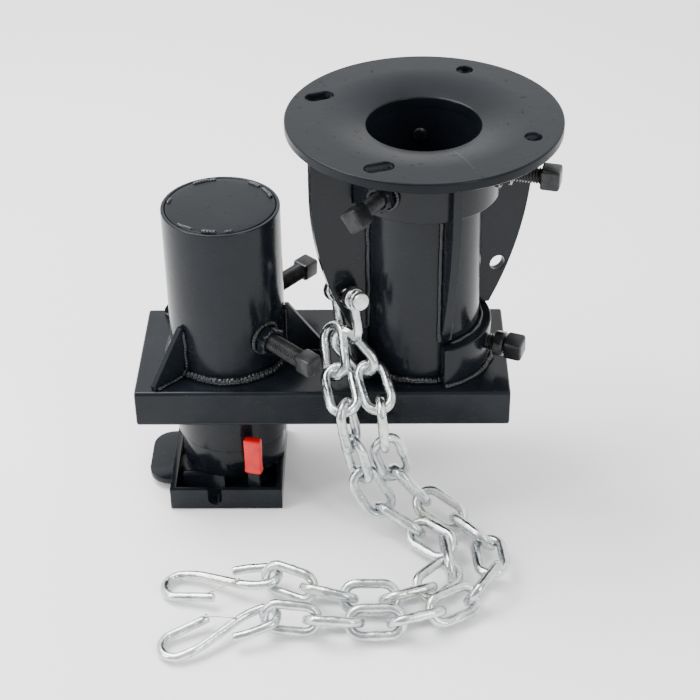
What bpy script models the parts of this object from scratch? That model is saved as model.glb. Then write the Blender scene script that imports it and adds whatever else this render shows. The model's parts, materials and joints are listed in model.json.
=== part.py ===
"""King-pin to gooseneck-ball adapter (a fifth wheel hitch coupler) with offset columns and safety chains.

Frame: metres, +Z up.  The origin is the centre of the top plate's seat, on the king-pin axis.
The box beam runs along X, the gooseneck column stands at -X, and -Y is the latch side.
"""
import math

import bmesh
import bpy
from mathutils import Matrix, Vector

INCH = 0.0254
GAP = 0.0003                      # clearance between pieces that touch

# Driving dimensions
TUBE_R = 2.25 * INCH              # both columns are 4.5 in tube
TUBE_WALL = 0.006
COLUMN_SPACING = 0.1926           # king-pin axis to gooseneck axis
TURN = math.radians(21.7)         # king-pin column is clocked by this much on the beam

PLATE_R = 0.129                   # top plate
PLATE_T = 0.0095
PLATE_LAND_R = 0.100              # outside this radius the top plate is flat
PLATE_DISH = 0.008                # depth of the dish at the bore
BORE_R = 0.0535
BOLT_CIRCLE_R = 0.1057
BOLT_HOLE_R = 0.008
BOLT_SLOT = 0.012                 # travel of the two slotted holes

BEAM_TOP = -0.2605
BEAM_H = 0.040
BEAM_D = 0.150
BEAM_X0 = -0.281
BEAM_X1 = 0.086
BEAM_WALL = 0.006
BEAM_CORNER = 0.004

COLLAR_R = 0.073
COLLAR_BOTTOM = BEAM_TOP + 0.1875
RIB_T = 0.009                     # thickness of wings and ribs
WING_R = 0.1135
RIB_R = 0.0805
CURVE_TOP = BEAM_TOP + 0.200      # wings and ribs curve inwards below this height
WING_CURVE = 0.322
RIB_CURVE = 0.560
FOOT_R = 0.0695
FOOT_TOP = BEAM_TOP + 0.042
CHAIN_HOLE = (0.080, BEAM_TOP + 0.0855, 0.0080)      # radius out, height, hole radius

SLEEVE_TOP = BEAM_TOP + 0.167
SLEEVE_BOTTOM = BEAM_TOP - 0.087
SLEEVE_WALL = 0.0036
GUSSET_T = 0.006
GUSSET_LEG = 0.041
GUSSET_HEIGHT = 0.055
INNER_R = 0.053
CAP_T = 0.005

FLOOR = BEAM_TOP - 0.147          # underside of the coupler
TRAY_T = 0.006
TRAY_H = 0.024
TRAY_X0, TRAY_X1 = -0.062, 0.052  # from the gooseneck axis
TRAY_Y0, TRAY_Y1 = -0.073, 0.060
BALL_R = 0.030                    # socket for a 2-5/16 in ball
SOCKET_R = 0.043                  # lower part of the socket, between the tray walls
LATCH_T = 0.006
LATCH_Z = FLOOR + TRAY_T + GAP

COLLAR_THREAD_R = 0.0078
COLUMN_THREAD_R = 0.0088
FOOT_THREAD_R = 0.0080

LINK_WIRE = 0.0046                # chain link wire radius
LINK_LENGTH = 0.0595
LINK_WIDTH = 0.035
LINK_PITCH = 0.0394
LINK_SIDES = 7

HOOK_WIRE = 0.0043


# ---------------------------------------------------------------- materials

def paint(name, colour, metallic, roughness):
    material = bpy.data.materials.new(name)
    material.use_nodes = True
    shader = material.node_tree.nodes["Principled BSDF"]
    shader.inputs["Base Color"].default_value = (*colour, 1.0)
    shader.inputs["Metallic"].default_value = metallic
    shader.inputs["Roughness"].default_value = roughness
    return material


def make_materials():
    return {
        "black_paint": paint("black_paint", (0.012, 0.013, 0.016), 0.0, 0.25),
        "black_oxide": paint("black_oxide", (0.010, 0.010, 0.011), 0.6, 0.5),
        "zinc": paint("zinc", (0.72, 0.74, 0.75), 1.0, 0.25),
        "red_grip": paint("red_grip", (0.75, 0.02, 0.03), 0.0, 0.3),
        "spring_steel": paint("spring_steel", (0.35, 0.35, 0.36), 1.0, 0.35),
    }


# ---------------------------------------------------------------- mesh tools

def polar(radius, angle, z=0.0):
    return Vector((radius * math.cos(angle), radius * math.sin(angle), z))


def to_object(name, bm, material, smooth=True):
    bmesh.ops.remove_doubles(bm, verts=bm.verts, dist=1e-7)
    bmesh.ops.recalc_face_normals(bm, faces=bm.faces)
    mesh = bpy.data.meshes.new(name)
    bm.to_mesh(mesh)
    bm.free()
    if smooth:
        mesh.shade_smooth()
        mesh.set_sharp_from_angle(angle=math.radians(35))
    obj = bpy.data.objects.new(name, mesh)
    bpy.context.collection.objects.link(obj)
    obj.data.materials.append(material)
    return obj


def as_cutter(obj):
    obj.hide_render = True
    obj.display_type = "WIRE"
    return obj


def boolean(obj, cutter, operation="DIFFERENCE"):
    as_cutter(cutter)
    modifier = obj.modifiers.new(cutter.name, "BOOLEAN")
    modifier.operation = operation
    modifier.solver = "EXACT"
    modifier.object = cutter
    return obj


def bevel(obj, width, segments=1):
    modifier = obj.modifiers.new("edge", "BEVEL")
    modifier.width = width
    modifier.segments = segments
    modifier.limit_method = "ANGLE"
    modifier.angle_limit = math.radians(40)
    return obj


def turned(name, outline, material, segments=48, start=0.0, end=math.tau):
    """Revolve a closed (radius, height) outline about Z, all round or over a sector."""
    bm = bmesh.new()
    whole = end - start > math.tau - 1e-6
    steps = segments if whole else segments + 1
    rings = []
    for k in range(steps):
        angle = start + (end - start) * k / segments
        rings.append([bm.verts.new(polar(r, angle, z)) for r, z in outline])
    count = len(outline)
    for k in range(segments):
        near, far = rings[k], rings[(k + 1) % steps]
        for i in range(count):
            j = (i + 1) % count
            corners = [near[i], near[j], far[j], far[i]]
            if outline[i][0] < 1e-9:
                corners.remove(far[i])
            if outline[j][0] < 1e-9:
                corners.remove(far[j])
            if len(corners) > 2:
                bm.faces.new(corners)
    if not whole:
        bm.faces.new(rings[0])
        bm.faces.new(rings[-1])
    return to_object(name, bm, material)


def extruded(name, outline, thickness, material, frame=Matrix()):
    """Extrude a flat (x, y) outline by its thickness, centred on z = 0 of the given frame."""
    bm = bmesh.new()
    low = [bm.verts.new(Vector((x, y, -thickness / 2))) for x, y in outline]
    high = [bm.verts.new(Vector((x, y, thickness / 2))) for x, y in outline]
    bm.faces.new(low)
    bm.faces.new(high)
    for i in range(len(outline)):
        j = (i + 1) % len(outline)
        bm.faces.new([low[i], low[j], high[j], high[i]])
    bmesh.ops.transform(bm, matrix=frame, verts=bm.verts)
    return to_object(name, bm, material, smooth=False)


def box(name, low, high, material):
    outline = [(low[0], low[1]), (high[0], low[1]), (high[0], high[1]), (low[0], high[1])]
    middle = Matrix.Translation((0, 0, (low[2] + high[2]) / 2))
    return extruded(name, outline, high[2] - low[2], material, middle)


def swept(name, points, radius, sides, material, closed=False, normal=None):
    """Sweep a round section along points; a closed path makes a ring."""
    path = [Vector(p) for p in points]
    count = len(path)
    bm = bmesh.new()
    rings = []
    side = normal
    for k in range(count):
        before = path[(k - 1) % count] if closed or k > 0 else path[k]
        after = path[(k + 1) % count] if closed or k < count - 1 else path[k]
        along = (after - before).normalized()
        if side is None:
            side = along.orthogonal()
        side = (side - along * side.dot(along)).normalized()
        across = along.cross(side)
        ring = []
        for s in range(sides):
            angle = math.tau * (s + 0.5) / sides
            offset = side * math.cos(angle) + across * math.sin(angle)
            ring.append(bm.verts.new(path[k] + offset * radius))
        rings.append(ring)
    spans = count if closed else count - 1
    for k in range(spans):
        near, far = rings[k], rings[(k + 1) % count]
        for s in range(sides):
            t = (s + 1) % sides
            bm.faces.new([near[s], near[t], far[t], far[s]])
    if not closed:
        bm.faces.new(rings[0])
        bm.faces.new(rings[-1])
    return to_object(name, bm, material)


def prism(name, sides, across_flats, z0, z1, material, frame=Matrix()):
    radius = across_flats / 2 / math.cos(math.pi / sides)
    outline = [tuple(polar(radius, math.tau * (k + 0.5) / sides).xy) for k in range(sides)]
    return extruded(name, outline, z1 - z0, material, frame @ Matrix.Translation((0, 0, (z0 + z1) / 2)))


def clear_across(thread_r):
    """Across-flats of a 12-sided hole that clears a 12-sided thread at any turn."""
    return 2 * (thread_r / math.cos(math.pi / 12) + GAP)


def pointing(origin, direction, upright=Vector((0, 0, 1))):
    """Frame whose Z looks along direction and whose Y is as upright as it can be."""
    z = direction.normalized()
    x = upright.cross(z)
    if x.length < 1e-6:
        x = Vector((1, 0, 0))
    x.normalize()
    y = z.cross(x)
    matrix = Matrix((x, y, z)).transposed().to_4x4()
    return Matrix.Translation(origin) @ matrix


def arc(centre, radius, start, end, steps):
    points = []
    for k in range(steps + 1):
        angle = start + (end - start) * k / steps
        points.append((centre[0] + radius * math.cos(angle), centre[1] + radius * math.sin(angle)))
    return points


# ---------------------------------------------------------------- king-pin column

def dish(radius):
    """Height of the top plate's upper face at a radius."""
    if radius >= PLATE_LAND_R:
        return 0.0
    return -PLATE_DISH * ((PLATE_LAND_R - radius) / (PLATE_LAND_R - BORE_R)) ** 2


def radial_plate(name, outline, angle, material):
    """A plate that stands on edge: its outline is (radius, height) in the plane at that angle."""
    frame = Matrix.Rotation(angle, 4, "Z") @ Matrix.Rotation(math.radians(90), 4, "X")
    return extruded(name, outline, RIB_T, material, frame)


def make_top_plate(mat):
    edge = 0.0015
    radii = [BORE_R, 0.060, 0.067, 0.075, 0.084, 0.092, PLATE_LAND_R]
    upper = [(r, dish(r)) for r in radii]
    upper += [(PLATE_R - edge, 0.0), (PLATE_R, -edge)]
    lower = [(PLATE_R, -PLATE_T)]
    lower += [(r, dish(r) - PLATE_T) for r in reversed(radii)]
    plate = turned("top_plate", upper + lower, mat["black_paint"], 72)
    for k, slotted in enumerate((False, True, True, False)):
        centre = polar(BOLT_CIRCLE_R, TURN + math.radians(45 + 90 * k))
        half = BOLT_SLOT / 2 if slotted else 0.0
        outline = arc((half, 0), BOLT_HOLE_R, -math.pi / 2, math.pi / 2, 8)
        outline += arc((-half, 0), BOLT_HOLE_R, math.pi / 2, 3 * math.pi / 2, 8)
        if not slotted:
            outline = arc((0, 0), BOLT_HOLE_R, 0, math.tau, 16)[:-1]
        frame = Matrix.Translation(centre) @ Matrix.Rotation(TURN, 4, "Z")
        boolean(plate, extruded(f"bolt_hole_cut_{k}", outline, 0.06, mat["black_paint"], frame))


def make_collar(mat):
    radii = [BORE_R + 0.0005, 0.060, 0.067, COLLAR_R]
    top = [(r, dish(r) - PLATE_T - GAP) for r in radii]
    outline = top + [(COLLAR_R, COLLAR_BOTTOM), (BORE_R + 0.0005, COLLAR_BOTTOM)]
    collar = turned("king_pin_collar", outline, mat["black_paint"], 64)
    for angle in collar_screw_angles():
        frame = pointing(Vector((0, 0, COLLAR_SCREW_Z)), polar(1, angle))
        boolean(collar, prism(f"tapped_cut_{round(math.degrees(angle))}", 12, clear_across(COLLAR_THREAD_R),
                              0.03, 0.09, mat["black_paint"], frame))


def make_king_tube(mat):
    top = COLLAR_BOTTOM - GAP
    bottom = BEAM_TOP + GAP
    inner = TUBE_R - TUBE_WALL
    outline = [(inner, top), (TUBE_R, top), (TUBE_R, bottom), (inner, bottom)]
    tube = turned("king_pin_tube", outline, mat["black_paint"], 64)
    frame = pointing(Vector((0, 0, FOOT_BOLT_Z)), polar(1, FOOT_BOLT_ANGLE))
    boolean(tube, prism("foot_tapped_cut", 12, clear_across(FOOT_THREAD_R), 0.035, 0.09,
                        mat["black_paint"], frame))


def plate_edge(outer, curve, steps=10):
    """Outer edge from the top plate down to the foot: straight, then an arc that turns inwards."""
    centre_r = outer - curve
    points = [(outer, -PLATE_T - GAP)]
    for k in range(steps + 1):
        z = CURVE_TOP + (FOOT_TOP + GAP - CURVE_TOP) * k / steps
        drop = CURVE_TOP - z
        points.append((centre_r + math.sqrt(curve ** 2 - drop ** 2), z))
    return points


def inner_edge():
    """Inner edge from the foot up past the collar, and along the underside of the dished plate."""
    tube = TUBE_R + GAP
    collar = COLLAR_R + GAP
    return [(tube, FOOT_TOP + GAP), (tube, COLLAR_BOTTOM - GAP), (collar, COLLAR_BOTTOM - GAP),
            (collar, dish(collar) - PLATE_T - GAP)]


def make_wings_and_ribs(mat):
    for name, angle in (("right_wing", TURN), ("left_wing", TURN + math.pi)):
        under = [(r, dish(r) - PLATE_T - GAP) for r in (0.079, 0.086, 0.093, PLATE_LAND_R)]
        outline = plate_edge(WING_R, WING_CURVE) + inner_edge() + under
        wing = radial_plate(name, outline, angle, mat["black_paint"])
        out, height, hole_r = CHAIN_HOLE
        frame = pointing(polar(out, angle, height), polar(1, angle - math.pi / 2))
        boolean(wing, prism(f"{name}_hole_cut", 20, 2 * hole_r, -0.02, 0.02, mat["black_paint"], frame))
    for name, angle in (("front_rib", TURN - math.pi / 2), ("back_rib", TURN + math.pi / 2)):
        edge = plate_edge(RIB_R, RIB_CURVE)
        edge[0] = (RIB_R, dish(RIB_R) - PLATE_T - GAP)
        radial_plate(name, edge + inner_edge(), angle, mat["black_paint"])


def make_feet(mat):
    inner = TUBE_R + GAP
    outline = [(inner, FOOT_TOP), (FOOT_R - 0.001, FOOT_TOP), (FOOT_R, FOOT_TOP - 0.001),
               (FOOT_R, BEAM_TOP + GAP), (inner, BEAM_TOP + GAP)]
    spread = math.asin(RIB_T / 2 / FOOT_R)
    for name, start in (("front_foot", TURN - math.pi / 2), ("back_foot", TURN + math.pi / 2)):
        foot = turned(name, outline, mat["black_paint"], 20, start - spread, start + math.pi / 2 + spread)
        if name == "front_foot":
            frame = pointing(Vector((0, 0, FOOT_BOLT_Z)), polar(1, FOOT_BOLT_ANGLE))
            boolean(foot, prism("foot_bolt_cut", 12, clear_across(FOOT_THREAD_R), 0.035, 0.09,
                                mat["black_paint"], frame))


# ---------------------------------------------------------------- screws

COLLAR_SCREW_Z = BEAM_TOP + 0.213
FOOT_BOLT_Z = BEAM_TOP + 0.0275
FOOT_BOLT_ANGLE = math.radians(338)
HEIGHT_SCREW_Z = BEAM_TOP + 0.041


def collar_screw_angles():
    return [math.radians(a) for a in (345, 239.5, 92)]


def make_screw(name, axis_point, angle, thread_r, tip, neck, head_end, across, material, spin=0.0):
    """Square-headed set screw: threaded from tip to neck, head from neck to head_end."""
    frame = pointing(axis_point, polar(1, angle)) @ Matrix.Rotation(spin, 4, "Z")
    screw = prism(name, 12, 2 * thread_r, tip, neck + 0.002, material, frame)
    head = prism(f"{name}_head_cut", 4, across, neck, head_end, material, frame)
    bevel(head, 0.0012)
    boolean(screw, head, "UNION")
    return screw


def make_nut(name, axis_point, angle, across, bore_r, inner, outer, material, spin=0.0):
    frame = pointing(axis_point, polar(1, angle)) @ Matrix.Rotation(spin, 4, "Z")
    nut = prism(name, 6, across, inner, outer, material, frame)
    bore = prism(f"{name}_bore_cut", 12, clear_across(bore_r), inner - 0.01, outer + 0.01, material, frame)
    return boolean(nut, bore)


def make_collar_screws(mat):
    axis_point = Vector((0, 0, COLLAR_SCREW_Z))
    for k, angle in enumerate(collar_screw_angles()):
        make_nut(f"collar_nut_{k + 1}", axis_point, angle, 0.024, COLLAR_THREAD_R,
                 COLLAR_R + GAP, COLLAR_R + 0.012, mat["black_paint"], math.radians(15 * k))
        make_screw(f"collar_screw_{k + 1}", axis_point, angle, COLLAR_THREAD_R,
                   0.050, 0.112, 0.130, 0.020, mat["black_oxide"], math.radians((0, 37, 62)[k]))


def make_foot_bolt(mat):
    axis_point = Vector((0, 0, FOOT_BOLT_Z))
    make_screw("foot_bolt", axis_point, FOOT_BOLT_ANGLE, FOOT_THREAD_R, 0.049, 0.0895, 0.107, 0.020,
               mat["black_oxide"], math.radians(8))
    make_nut("jam_nut", axis_point, FOOT_BOLT_ANGLE, 0.024, FOOT_THREAD_R, 0.0785, 0.088,
             mat["black_oxide"])


def make_height_screws(mat):
    axis_point = Vector((-COLUMN_SPACING, 0, HEIGHT_SCREW_Z))
    for name, degrees in (("front", 315), ("back", 50)):
        angle = math.radians(degrees)
        make_nut(f"{name}_height_nut", axis_point, angle, 0.027, COLUMN_THREAD_R,
                 TUBE_R + GAP, TUBE_R + 0.012, mat["black_paint"])
        make_screw(f"{name}_height_screw", axis_point, angle, COLUMN_THREAD_R,
                   INNER_R + GAP, 0.108, 0.127, 0.0185, mat["black_oxide"], math.radians(4))


# ---------------------------------------------------------------- beam

def rounded_rectangle(width, height, corner, steps=3):
    outline = []
    for quadrant, (sx, sy) in enumerate(((1, 1), (-1, 1), (-1, -1), (1, -1))):
        centre = (sx * (width / 2 - corner), sy * (height / 2 - corner))
        start = quadrant * math.pi / 2
        outline += arc(centre, corner, start, start + math.pi / 2, steps)
    return outline


def make_beam(mat):
    middle = Vector(((BEAM_X0 + BEAM_X1) / 2, 0, BEAM_TOP - BEAM_H / 2))
    length = BEAM_X1 - BEAM_X0
    cap_t = 0.006
    across = pointing(middle, Vector((1, 0, 0)))
    beam = extruded("beam_tube", rounded_rectangle(BEAM_D, BEAM_H, BEAM_CORNER),
                    length - 2 * (cap_t + GAP), mat["black_paint"], across)
    hollow = extruded("beam_hollow_cut", rounded_rectangle(BEAM_D - 2 * BEAM_WALL, BEAM_H - 2 * BEAM_WALL, 0.002),
                      length + 0.02, mat["black_paint"], across)
    boolean(beam, hollow)
    pass_r = TUBE_R + GAP
    outline = [(0, BEAM_TOP + 0.02), (pass_r, BEAM_TOP + 0.02), (pass_r, BEAM_TOP - 0.06), (0, BEAM_TOP - 0.06)]
    hole = turned("beam_sleeve_cut", outline, mat["black_paint"], 48)
    hole.location.x = -COLUMN_SPACING
    boolean(beam, hole)
    for name, x in (("beam_cap_left", BEAM_X0 + cap_t / 2), ("beam_cap_right", BEAM_X1 - cap_t / 2)):
        end = pointing(Vector((x, 0, middle.z)), Vector((1, 0, 0)))
        extruded(name, rounded_rectangle(BEAM_D, BEAM_H, BEAM_CORNER), cap_t, mat["black_paint"], end)


# ---------------------------------------------------------------- gooseneck column

def shift_to_gooseneck(obj):
    obj.location.x = -COLUMN_SPACING
    return obj


def make_sleeve(mat):
    inner = TUBE_R - SLEEVE_WALL
    edge = 0.0012
    outline = [(inner, SLEEVE_TOP), (TUBE_R - edge, SLEEVE_TOP), (TUBE_R, SLEEVE_TOP - edge),
               (TUBE_R, SLEEVE_BOTTOM), (inner, SLEEVE_BOTTOM)]
    sleeve = shift_to_gooseneck(turned("coupler_sleeve", outline, mat["black_paint"], 48))
    axis_point = Vector((-COLUMN_SPACING, 0, HEIGHT_SCREW_Z))
    for degrees in (315, 50):
        frame = pointing(axis_point, polar(1, math.radians(degrees)))
        boolean(sleeve, prism(f"height_tapped_cut_{degrees}", 12, clear_across(COLUMN_THREAD_R),
                              0.04, 0.07, mat["black_paint"], frame))
    for name, degrees in (("right_gusset", 0), ("front_gusset", 225), ("back_gusset", 135)):
        root = TUBE_R + GAP
        base = BEAM_TOP + GAP
        outline = [(root, base), (root + GUSSET_LEG, base), (root + GUSSET_LEG, base + 0.005),
                   (root + 0.004, base + GUSSET_HEIGHT), (root, base + GUSSET_HEIGHT)]
        frame = (Matrix.Translation((-COLUMN_SPACING, 0, 0)) @ Matrix.Rotation(math.radians(degrees), 4, "Z")
                 @ Matrix.Rotation(math.radians(90), 4, "X"))
        extruded(name, outline, GUSSET_T, mat["black_paint"], frame)


def make_inner_column(mat):
    cap_top = SLEEVE_TOP + 0.0008
    tube_top = cap_top - CAP_T - GAP
    block_bottom = LATCH_Z + LATCH_T + GAP
    block_top = SLEEVE_BOTTOM + 0.003
    wall = 0.006
    outline = [(INNER_R - wall, tube_top), (INNER_R, tube_top), (INNER_R, block_top + GAP),
               (INNER_R - wall, block_top + GAP)]
    shift_to_gooseneck(turned("inner_tube", outline, mat["black_paint"], 48))
    edge = 0.0012
    cap = [(0, cap_top), (INNER_R - edge, cap_top), (INNER_R, cap_top - edge),
           (INNER_R, cap_top - CAP_T), (0, cap_top - CAP_T)]
    shift_to_gooseneck(turned("inner_tube_cap", cap, mat["black_paint"], 48))
    ball_z = block_bottom + 0.012
    dome = [(BALL_R * math.cos(a), ball_z + BALL_R * math.sin(a))
            for a in (math.radians(15 * k) for k in range(7))]
    dome[-1] = (0.0, ball_z + BALL_R)
    shoulder = FLOOR + TRAY_H + 0.0005
    block = [(0, block_top), (INNER_R, block_top), (INNER_R, shoulder), (SOCKET_R, shoulder),
             (SOCKET_R, block_bottom), (BALL_R + 0.001, block_bottom)]
    shift_to_gooseneck(turned("ball_socket", block + dome, mat["black_paint"], 40))


def make_tray(mat):
    floor_top = FLOOR + TRAY_T
    top = FLOOR + TRAY_H
    tray = box("coupler_tray", (TRAY_X0, TRAY_Y0, FLOOR), (TRAY_X1, TRAY_Y1, top), mat["black_paint"])
    shift_to_gooseneck(tray)
    cuts = [
        box("tray_pocket_cut", (TRAY_X0 + TRAY_T, TRAY_Y0 + 0.005, floor_top),
            (TRAY_X1 - TRAY_T, TRAY_Y1 + 0.01, top + 0.01), mat["black_paint"]),
        box("latch_slot_cut", (TRAY_X0 - 0.01, -0.043, floor_top),
            (TRAY_X0 + 0.01, 0.043, floor_top + LATCH_T + 0.001), mat["black_paint"]),
    ]
    notch = arc((0, 0), 0.007, math.pi, math.tau, 8) + [(0.007, 0.03), (-0.007, 0.03)]
    lip = pointing(Vector((-0.0165, TRAY_Y0, FLOOR + 0.0115)), Vector((0, -1, 0)))
    cuts.append(extruded("lip_notch_cut", notch, 0.03, mat["black_paint"], lip))
    bore_r = BALL_R + 0.0015
    bore = [(0, floor_top + 0.01), (bore_r, floor_top + 0.01), (bore_r, FLOOR - 0.01), (0, FLOOR - 0.01)]
    cuts.append(turned("tray_bore_cut", bore, mat["black_paint"], 32))
    for cut in cuts:
        boolean(tray, shift_to_gooseneck(cut))
    for name, y0 in (("back_spacer_cut", 0.0429), ("front_spacer_cut", -0.0487)):
        spacer = box(name, (-0.050, y0, floor_top - 0.001), (-0.008, y0 + 0.0058, top + 0.0002), mat["black_paint"])
        boolean(tray, shift_to_gooseneck(spacer), "UNION")


GRIP_X = 0.024
GRIP_Y = -0.0635
GRIP_TWIST = math.radians(-14)


def make_latch(mat):
    x0, x1, half = -0.088, 0.037, 0.041
    corner = 0.022
    yoke_r = BALL_R + 0.001
    yoke_x = 0.008
    outline = [(x1, -half), (x1, -yoke_r)]
    outline += arc((yoke_x, 0), yoke_r, -math.pi / 2, -3 * math.pi / 2, 16)
    outline += [(x1, yoke_r), (x1, half)]
    outline += arc((x0 + corner, half - corner), corner, math.pi / 2, math.pi, 6)
    outline += arc((x0 + corner, -half + corner), corner, math.pi, 3 * math.pi / 2, 6)
    middle = LATCH_Z + LATCH_T / 2
    plate = extruded("latch_plate", outline, LATCH_T, mat["black_paint"], Matrix.Translation((0, 0, middle)))
    shift_to_gooseneck(plate)
    stem = 0.012
    tongue = box("latch_tongue_cut", (GRIP_X - stem / 2, GRIP_Y - 0.0035, LATCH_Z),
                 (GRIP_X + stem / 2, -half + 0.004, LATCH_Z + LATCH_T), mat["black_paint"])
    post = box("latch_post_cut", (-stem / 2, -0.0025, LATCH_Z + 0.002),
               (stem / 2, 0.0025, FLOOR + 0.076), mat["black_paint"])
    post.location = (GRIP_X - COLUMN_SPACING, GRIP_Y, 0)
    post.rotation_euler.z = GRIP_TWIST
    ear = box("latch_ear_cut", (0.012, half - 0.006, LATCH_Z), (0.017, ROD_Y + 0.005, LATCH_Z + 0.0172),
              mat["black_paint"])
    ear_gap = box("latch_ear_gap_cut", (0.0, -0.010, LATCH_Z + LATCH_T), (0.03, SOCKET_R + 0.0008, LATCH_Z + 0.03),
                  mat["black_paint"])
    rod_hole = prism("latch_rod_cut", 12, 0.0072, -0.05, 0.05, mat["black_paint"],
                     pointing(Vector((0.014, ROD_Y, ROD_Z)), Vector((1, 0, 0))))
    boolean(plate, shift_to_gooseneck(tongue), "UNION")
    boolean(plate, post, "UNION")
    boolean(plate, shift_to_gooseneck(ear), "UNION")
    boolean(plate, shift_to_gooseneck(ear_gap))
    boolean(plate, shift_to_gooseneck(rod_hole))

    sections = ((0.041, 0.0086, 0.0046), (0.047, 0.0092, 0.0050), (0.078, 0.0092, 0.0052),
                (0.083, 0.0086, 0.0048), (0.0865, 0.0060, 0.0032))
    bm = bmesh.new()
    rings = []
    for height, half_x, half_y in sections:
        ring = []
        for k in range(16):
            angle = math.tau * k / 16
            c, s = math.cos(angle), math.sin(angle)
            x = half_x * math.copysign(abs(c) ** 0.5, c)
            y = half_y * math.copysign(abs(s) ** 0.5, s)
            ring.append(bm.verts.new((x, y, height)))
        rings.append(ring)
    for near, far in zip(rings, rings[1:]):
        for k in range(16):
            j = (k + 1) % 16
            bm.faces.new([near[k], near[j], far[j], far[k]])
    bm.faces.new(rings[0])
    bm.faces.new(rings[-1])
    grip = to_object("latch_grip", bm, mat["red_grip"])
    grip.location = (GRIP_X - COLUMN_SPACING, GRIP_Y, FLOOR)
    grip.rotation_euler.z = GRIP_TWIST
    pocket = box("grip_pocket_cut", (-stem / 2 - GAP, -0.0025 - GAP, 0.0), (stem / 2 + GAP, 0.0025 + GAP, 0.0765),
                 mat["red_grip"])
    pocket.location = grip.location
    pocket.rotation_euler.z = GRIP_TWIST
    boolean(grip, pocket)


ROD_Y = 0.0545
ROD_Z = FLOOR + 0.0180
ROD_R = 0.003


def make_latch_spring(mat):
    x0 = TRAY_X0 + TRAY_T + GAP
    x1 = TRAY_X1 - TRAY_T - GAP
    shift_to_gooseneck(prism("spring_rod", 10, 2 * ROD_R, x0, x1, mat["spring_steel"],
                             pointing(Vector((0, ROD_Y, ROD_Z)), Vector((1, 0, 0)))))
    wire = 0.0008
    coil_r = ROD_R + wire + 0.0005
    turns, per_turn = 7, 9
    start, end = x0 + wire + GAP, 0.012 - wire - GAP
    points = []
    for k in range(turns * per_turn + 1):
        angle = math.tau * k / per_turn
        x = start + (end - start) * k / (turns * per_turn)
        points.append((x, ROD_Y + coil_r * math.cos(angle), ROD_Z + coil_r * math.sin(angle)))
    shift_to_gooseneck(swept("latch_spring", points, wire, 5, mat["spring_steel"]))


# ---------------------------------------------------------------- shackle, chains and hooks

PIN_CENTRE = polar(CHAIN_HOLE[0] + 0.0008, TURN + math.pi, CHAIN_HOLE[1])
PIN_AXIS = Vector((0.541, -0.811, 0.225)).normalized()
BOW_DEPTH = 0.031
BOW_HALF = 0.0170
BOW_WIRE = 0.0052


def shackle_down():
    down = Vector((0, 0, -1))
    return (down - PIN_AXIS * down.dot(PIN_AXIS)).normalized()


def bow_points():
    down = shackle_down()
    points = []
    for k in range(4):
        points.append(PIN_CENTRE + PIN_AXIS * BOW_HALF + down * (BOW_DEPTH * (k + 1) / 4))
    for k in range(1, 12):
        angle = math.pi * k / 12
        points.append(PIN_CENTRE + PIN_AXIS * BOW_HALF * math.cos(angle)
                      + down * (BOW_DEPTH + BOW_HALF * math.sin(angle)))
    for k in range(4):
        points.append(PIN_CENTRE - PIN_AXIS * BOW_HALF + down * (BOW_DEPTH * (4 - k) / 4))
    return points


def make_shackle(mat):
    shackle = swept("shackle", bow_points(), BOW_WIRE, 10, mat["zinc"])
    for side in (-1, 1):
        frame = pointing(PIN_CENTRE + PIN_AXIS * BOW_HALF * side, PIN_AXIS)
        eye = prism(f"shackle_eye_{side}_cut", 16, 0.023, -BOW_WIRE + 0.0004, BOW_WIRE - 0.0004, mat["zinc"], frame)
        boolean(shackle, eye, "UNION")
    frame = pointing(PIN_CENTRE, PIN_AXIS)
    boolean(shackle, prism("shackle_pin_cut", 16, 0.0106, -0.04, 0.04, mat["zinc"], frame))
    outline = [(0, -0.0250), (0.0050, -0.0250), (0.0050, 0.0224), (0.0100, 0.0224), (0.0100, 0.0262),
               (0.0088, 0.0272), (0.0088, 0.0306), (0.0074, 0.0318), (0, 0.0318)]
    pin = turned("shackle_pin", outline, mat["zinc"], 20)
    pin.matrix_world = frame


def link_points(steps=6):
    """Centre line of a chain link, long along X, flat in XY."""
    radius = LINK_WIDTH / 2 - LINK_WIRE
    half = LINK_LENGTH / 2 - LINK_WIRE - radius
    outline = arc((half, 0), radius, -math.pi / 2, math.pi / 2, steps)
    outline += arc((-half, 0), radius, math.pi / 2, 3 * math.pi / 2, steps)
    return [(x, y, 0) for x, y in outline]


def spline(points, per_span=16):
    """Smooth curve through hand-placed points (Catmull-Rom)."""
    path = [Vector(p) for p in points]
    path = [2 * path[0] - path[1]] + path + [2 * path[-1] - path[-2]]
    curve = []
    for a, b, c, d in zip(path, path[1:], path[2:], path[3:]):
        for k in range(per_span):
            t = k / per_span
            curve.append(0.5 * (2 * b + (c - a) * t + (2 * a - 5 * b + 4 * c - d) * t * t
                                + (3 * b - a - 3 * c + d) * t ** 3))
    curve.append(path[-2])
    return curve


def stations(route, pitches):
    """Joints along the route, each a straight pitch from the last, as in a real chain."""
    curve = spline(route)
    found = [curve[0]]
    k = 1
    for pitch in pitches:
        while k < len(curve) and (curve[k] - found[-1]).length < pitch:
            k += 1
        if k == len(curve):
            heading = (curve[-1] - curve[-2]).normalized()
            found.append(found[-1] + heading * pitch)
            continue
        low, high = 0.0, 1.0
        for _ in range(30):
            middle = (low + high) / 2
            if (curve[k - 1].lerp(curve[k], middle) - found[-1]).length < pitch:
                low = middle
            else:
                high = middle
        found.append(curve[k - 1].lerp(curve[k], low))
    return found


VIEW_SIDE = Vector((0, -1, 1)).normalized()      # open links lean this way, half towards the front
TAUT = 0.0414                                    # pitch of the hanging links, which bear on each other

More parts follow.
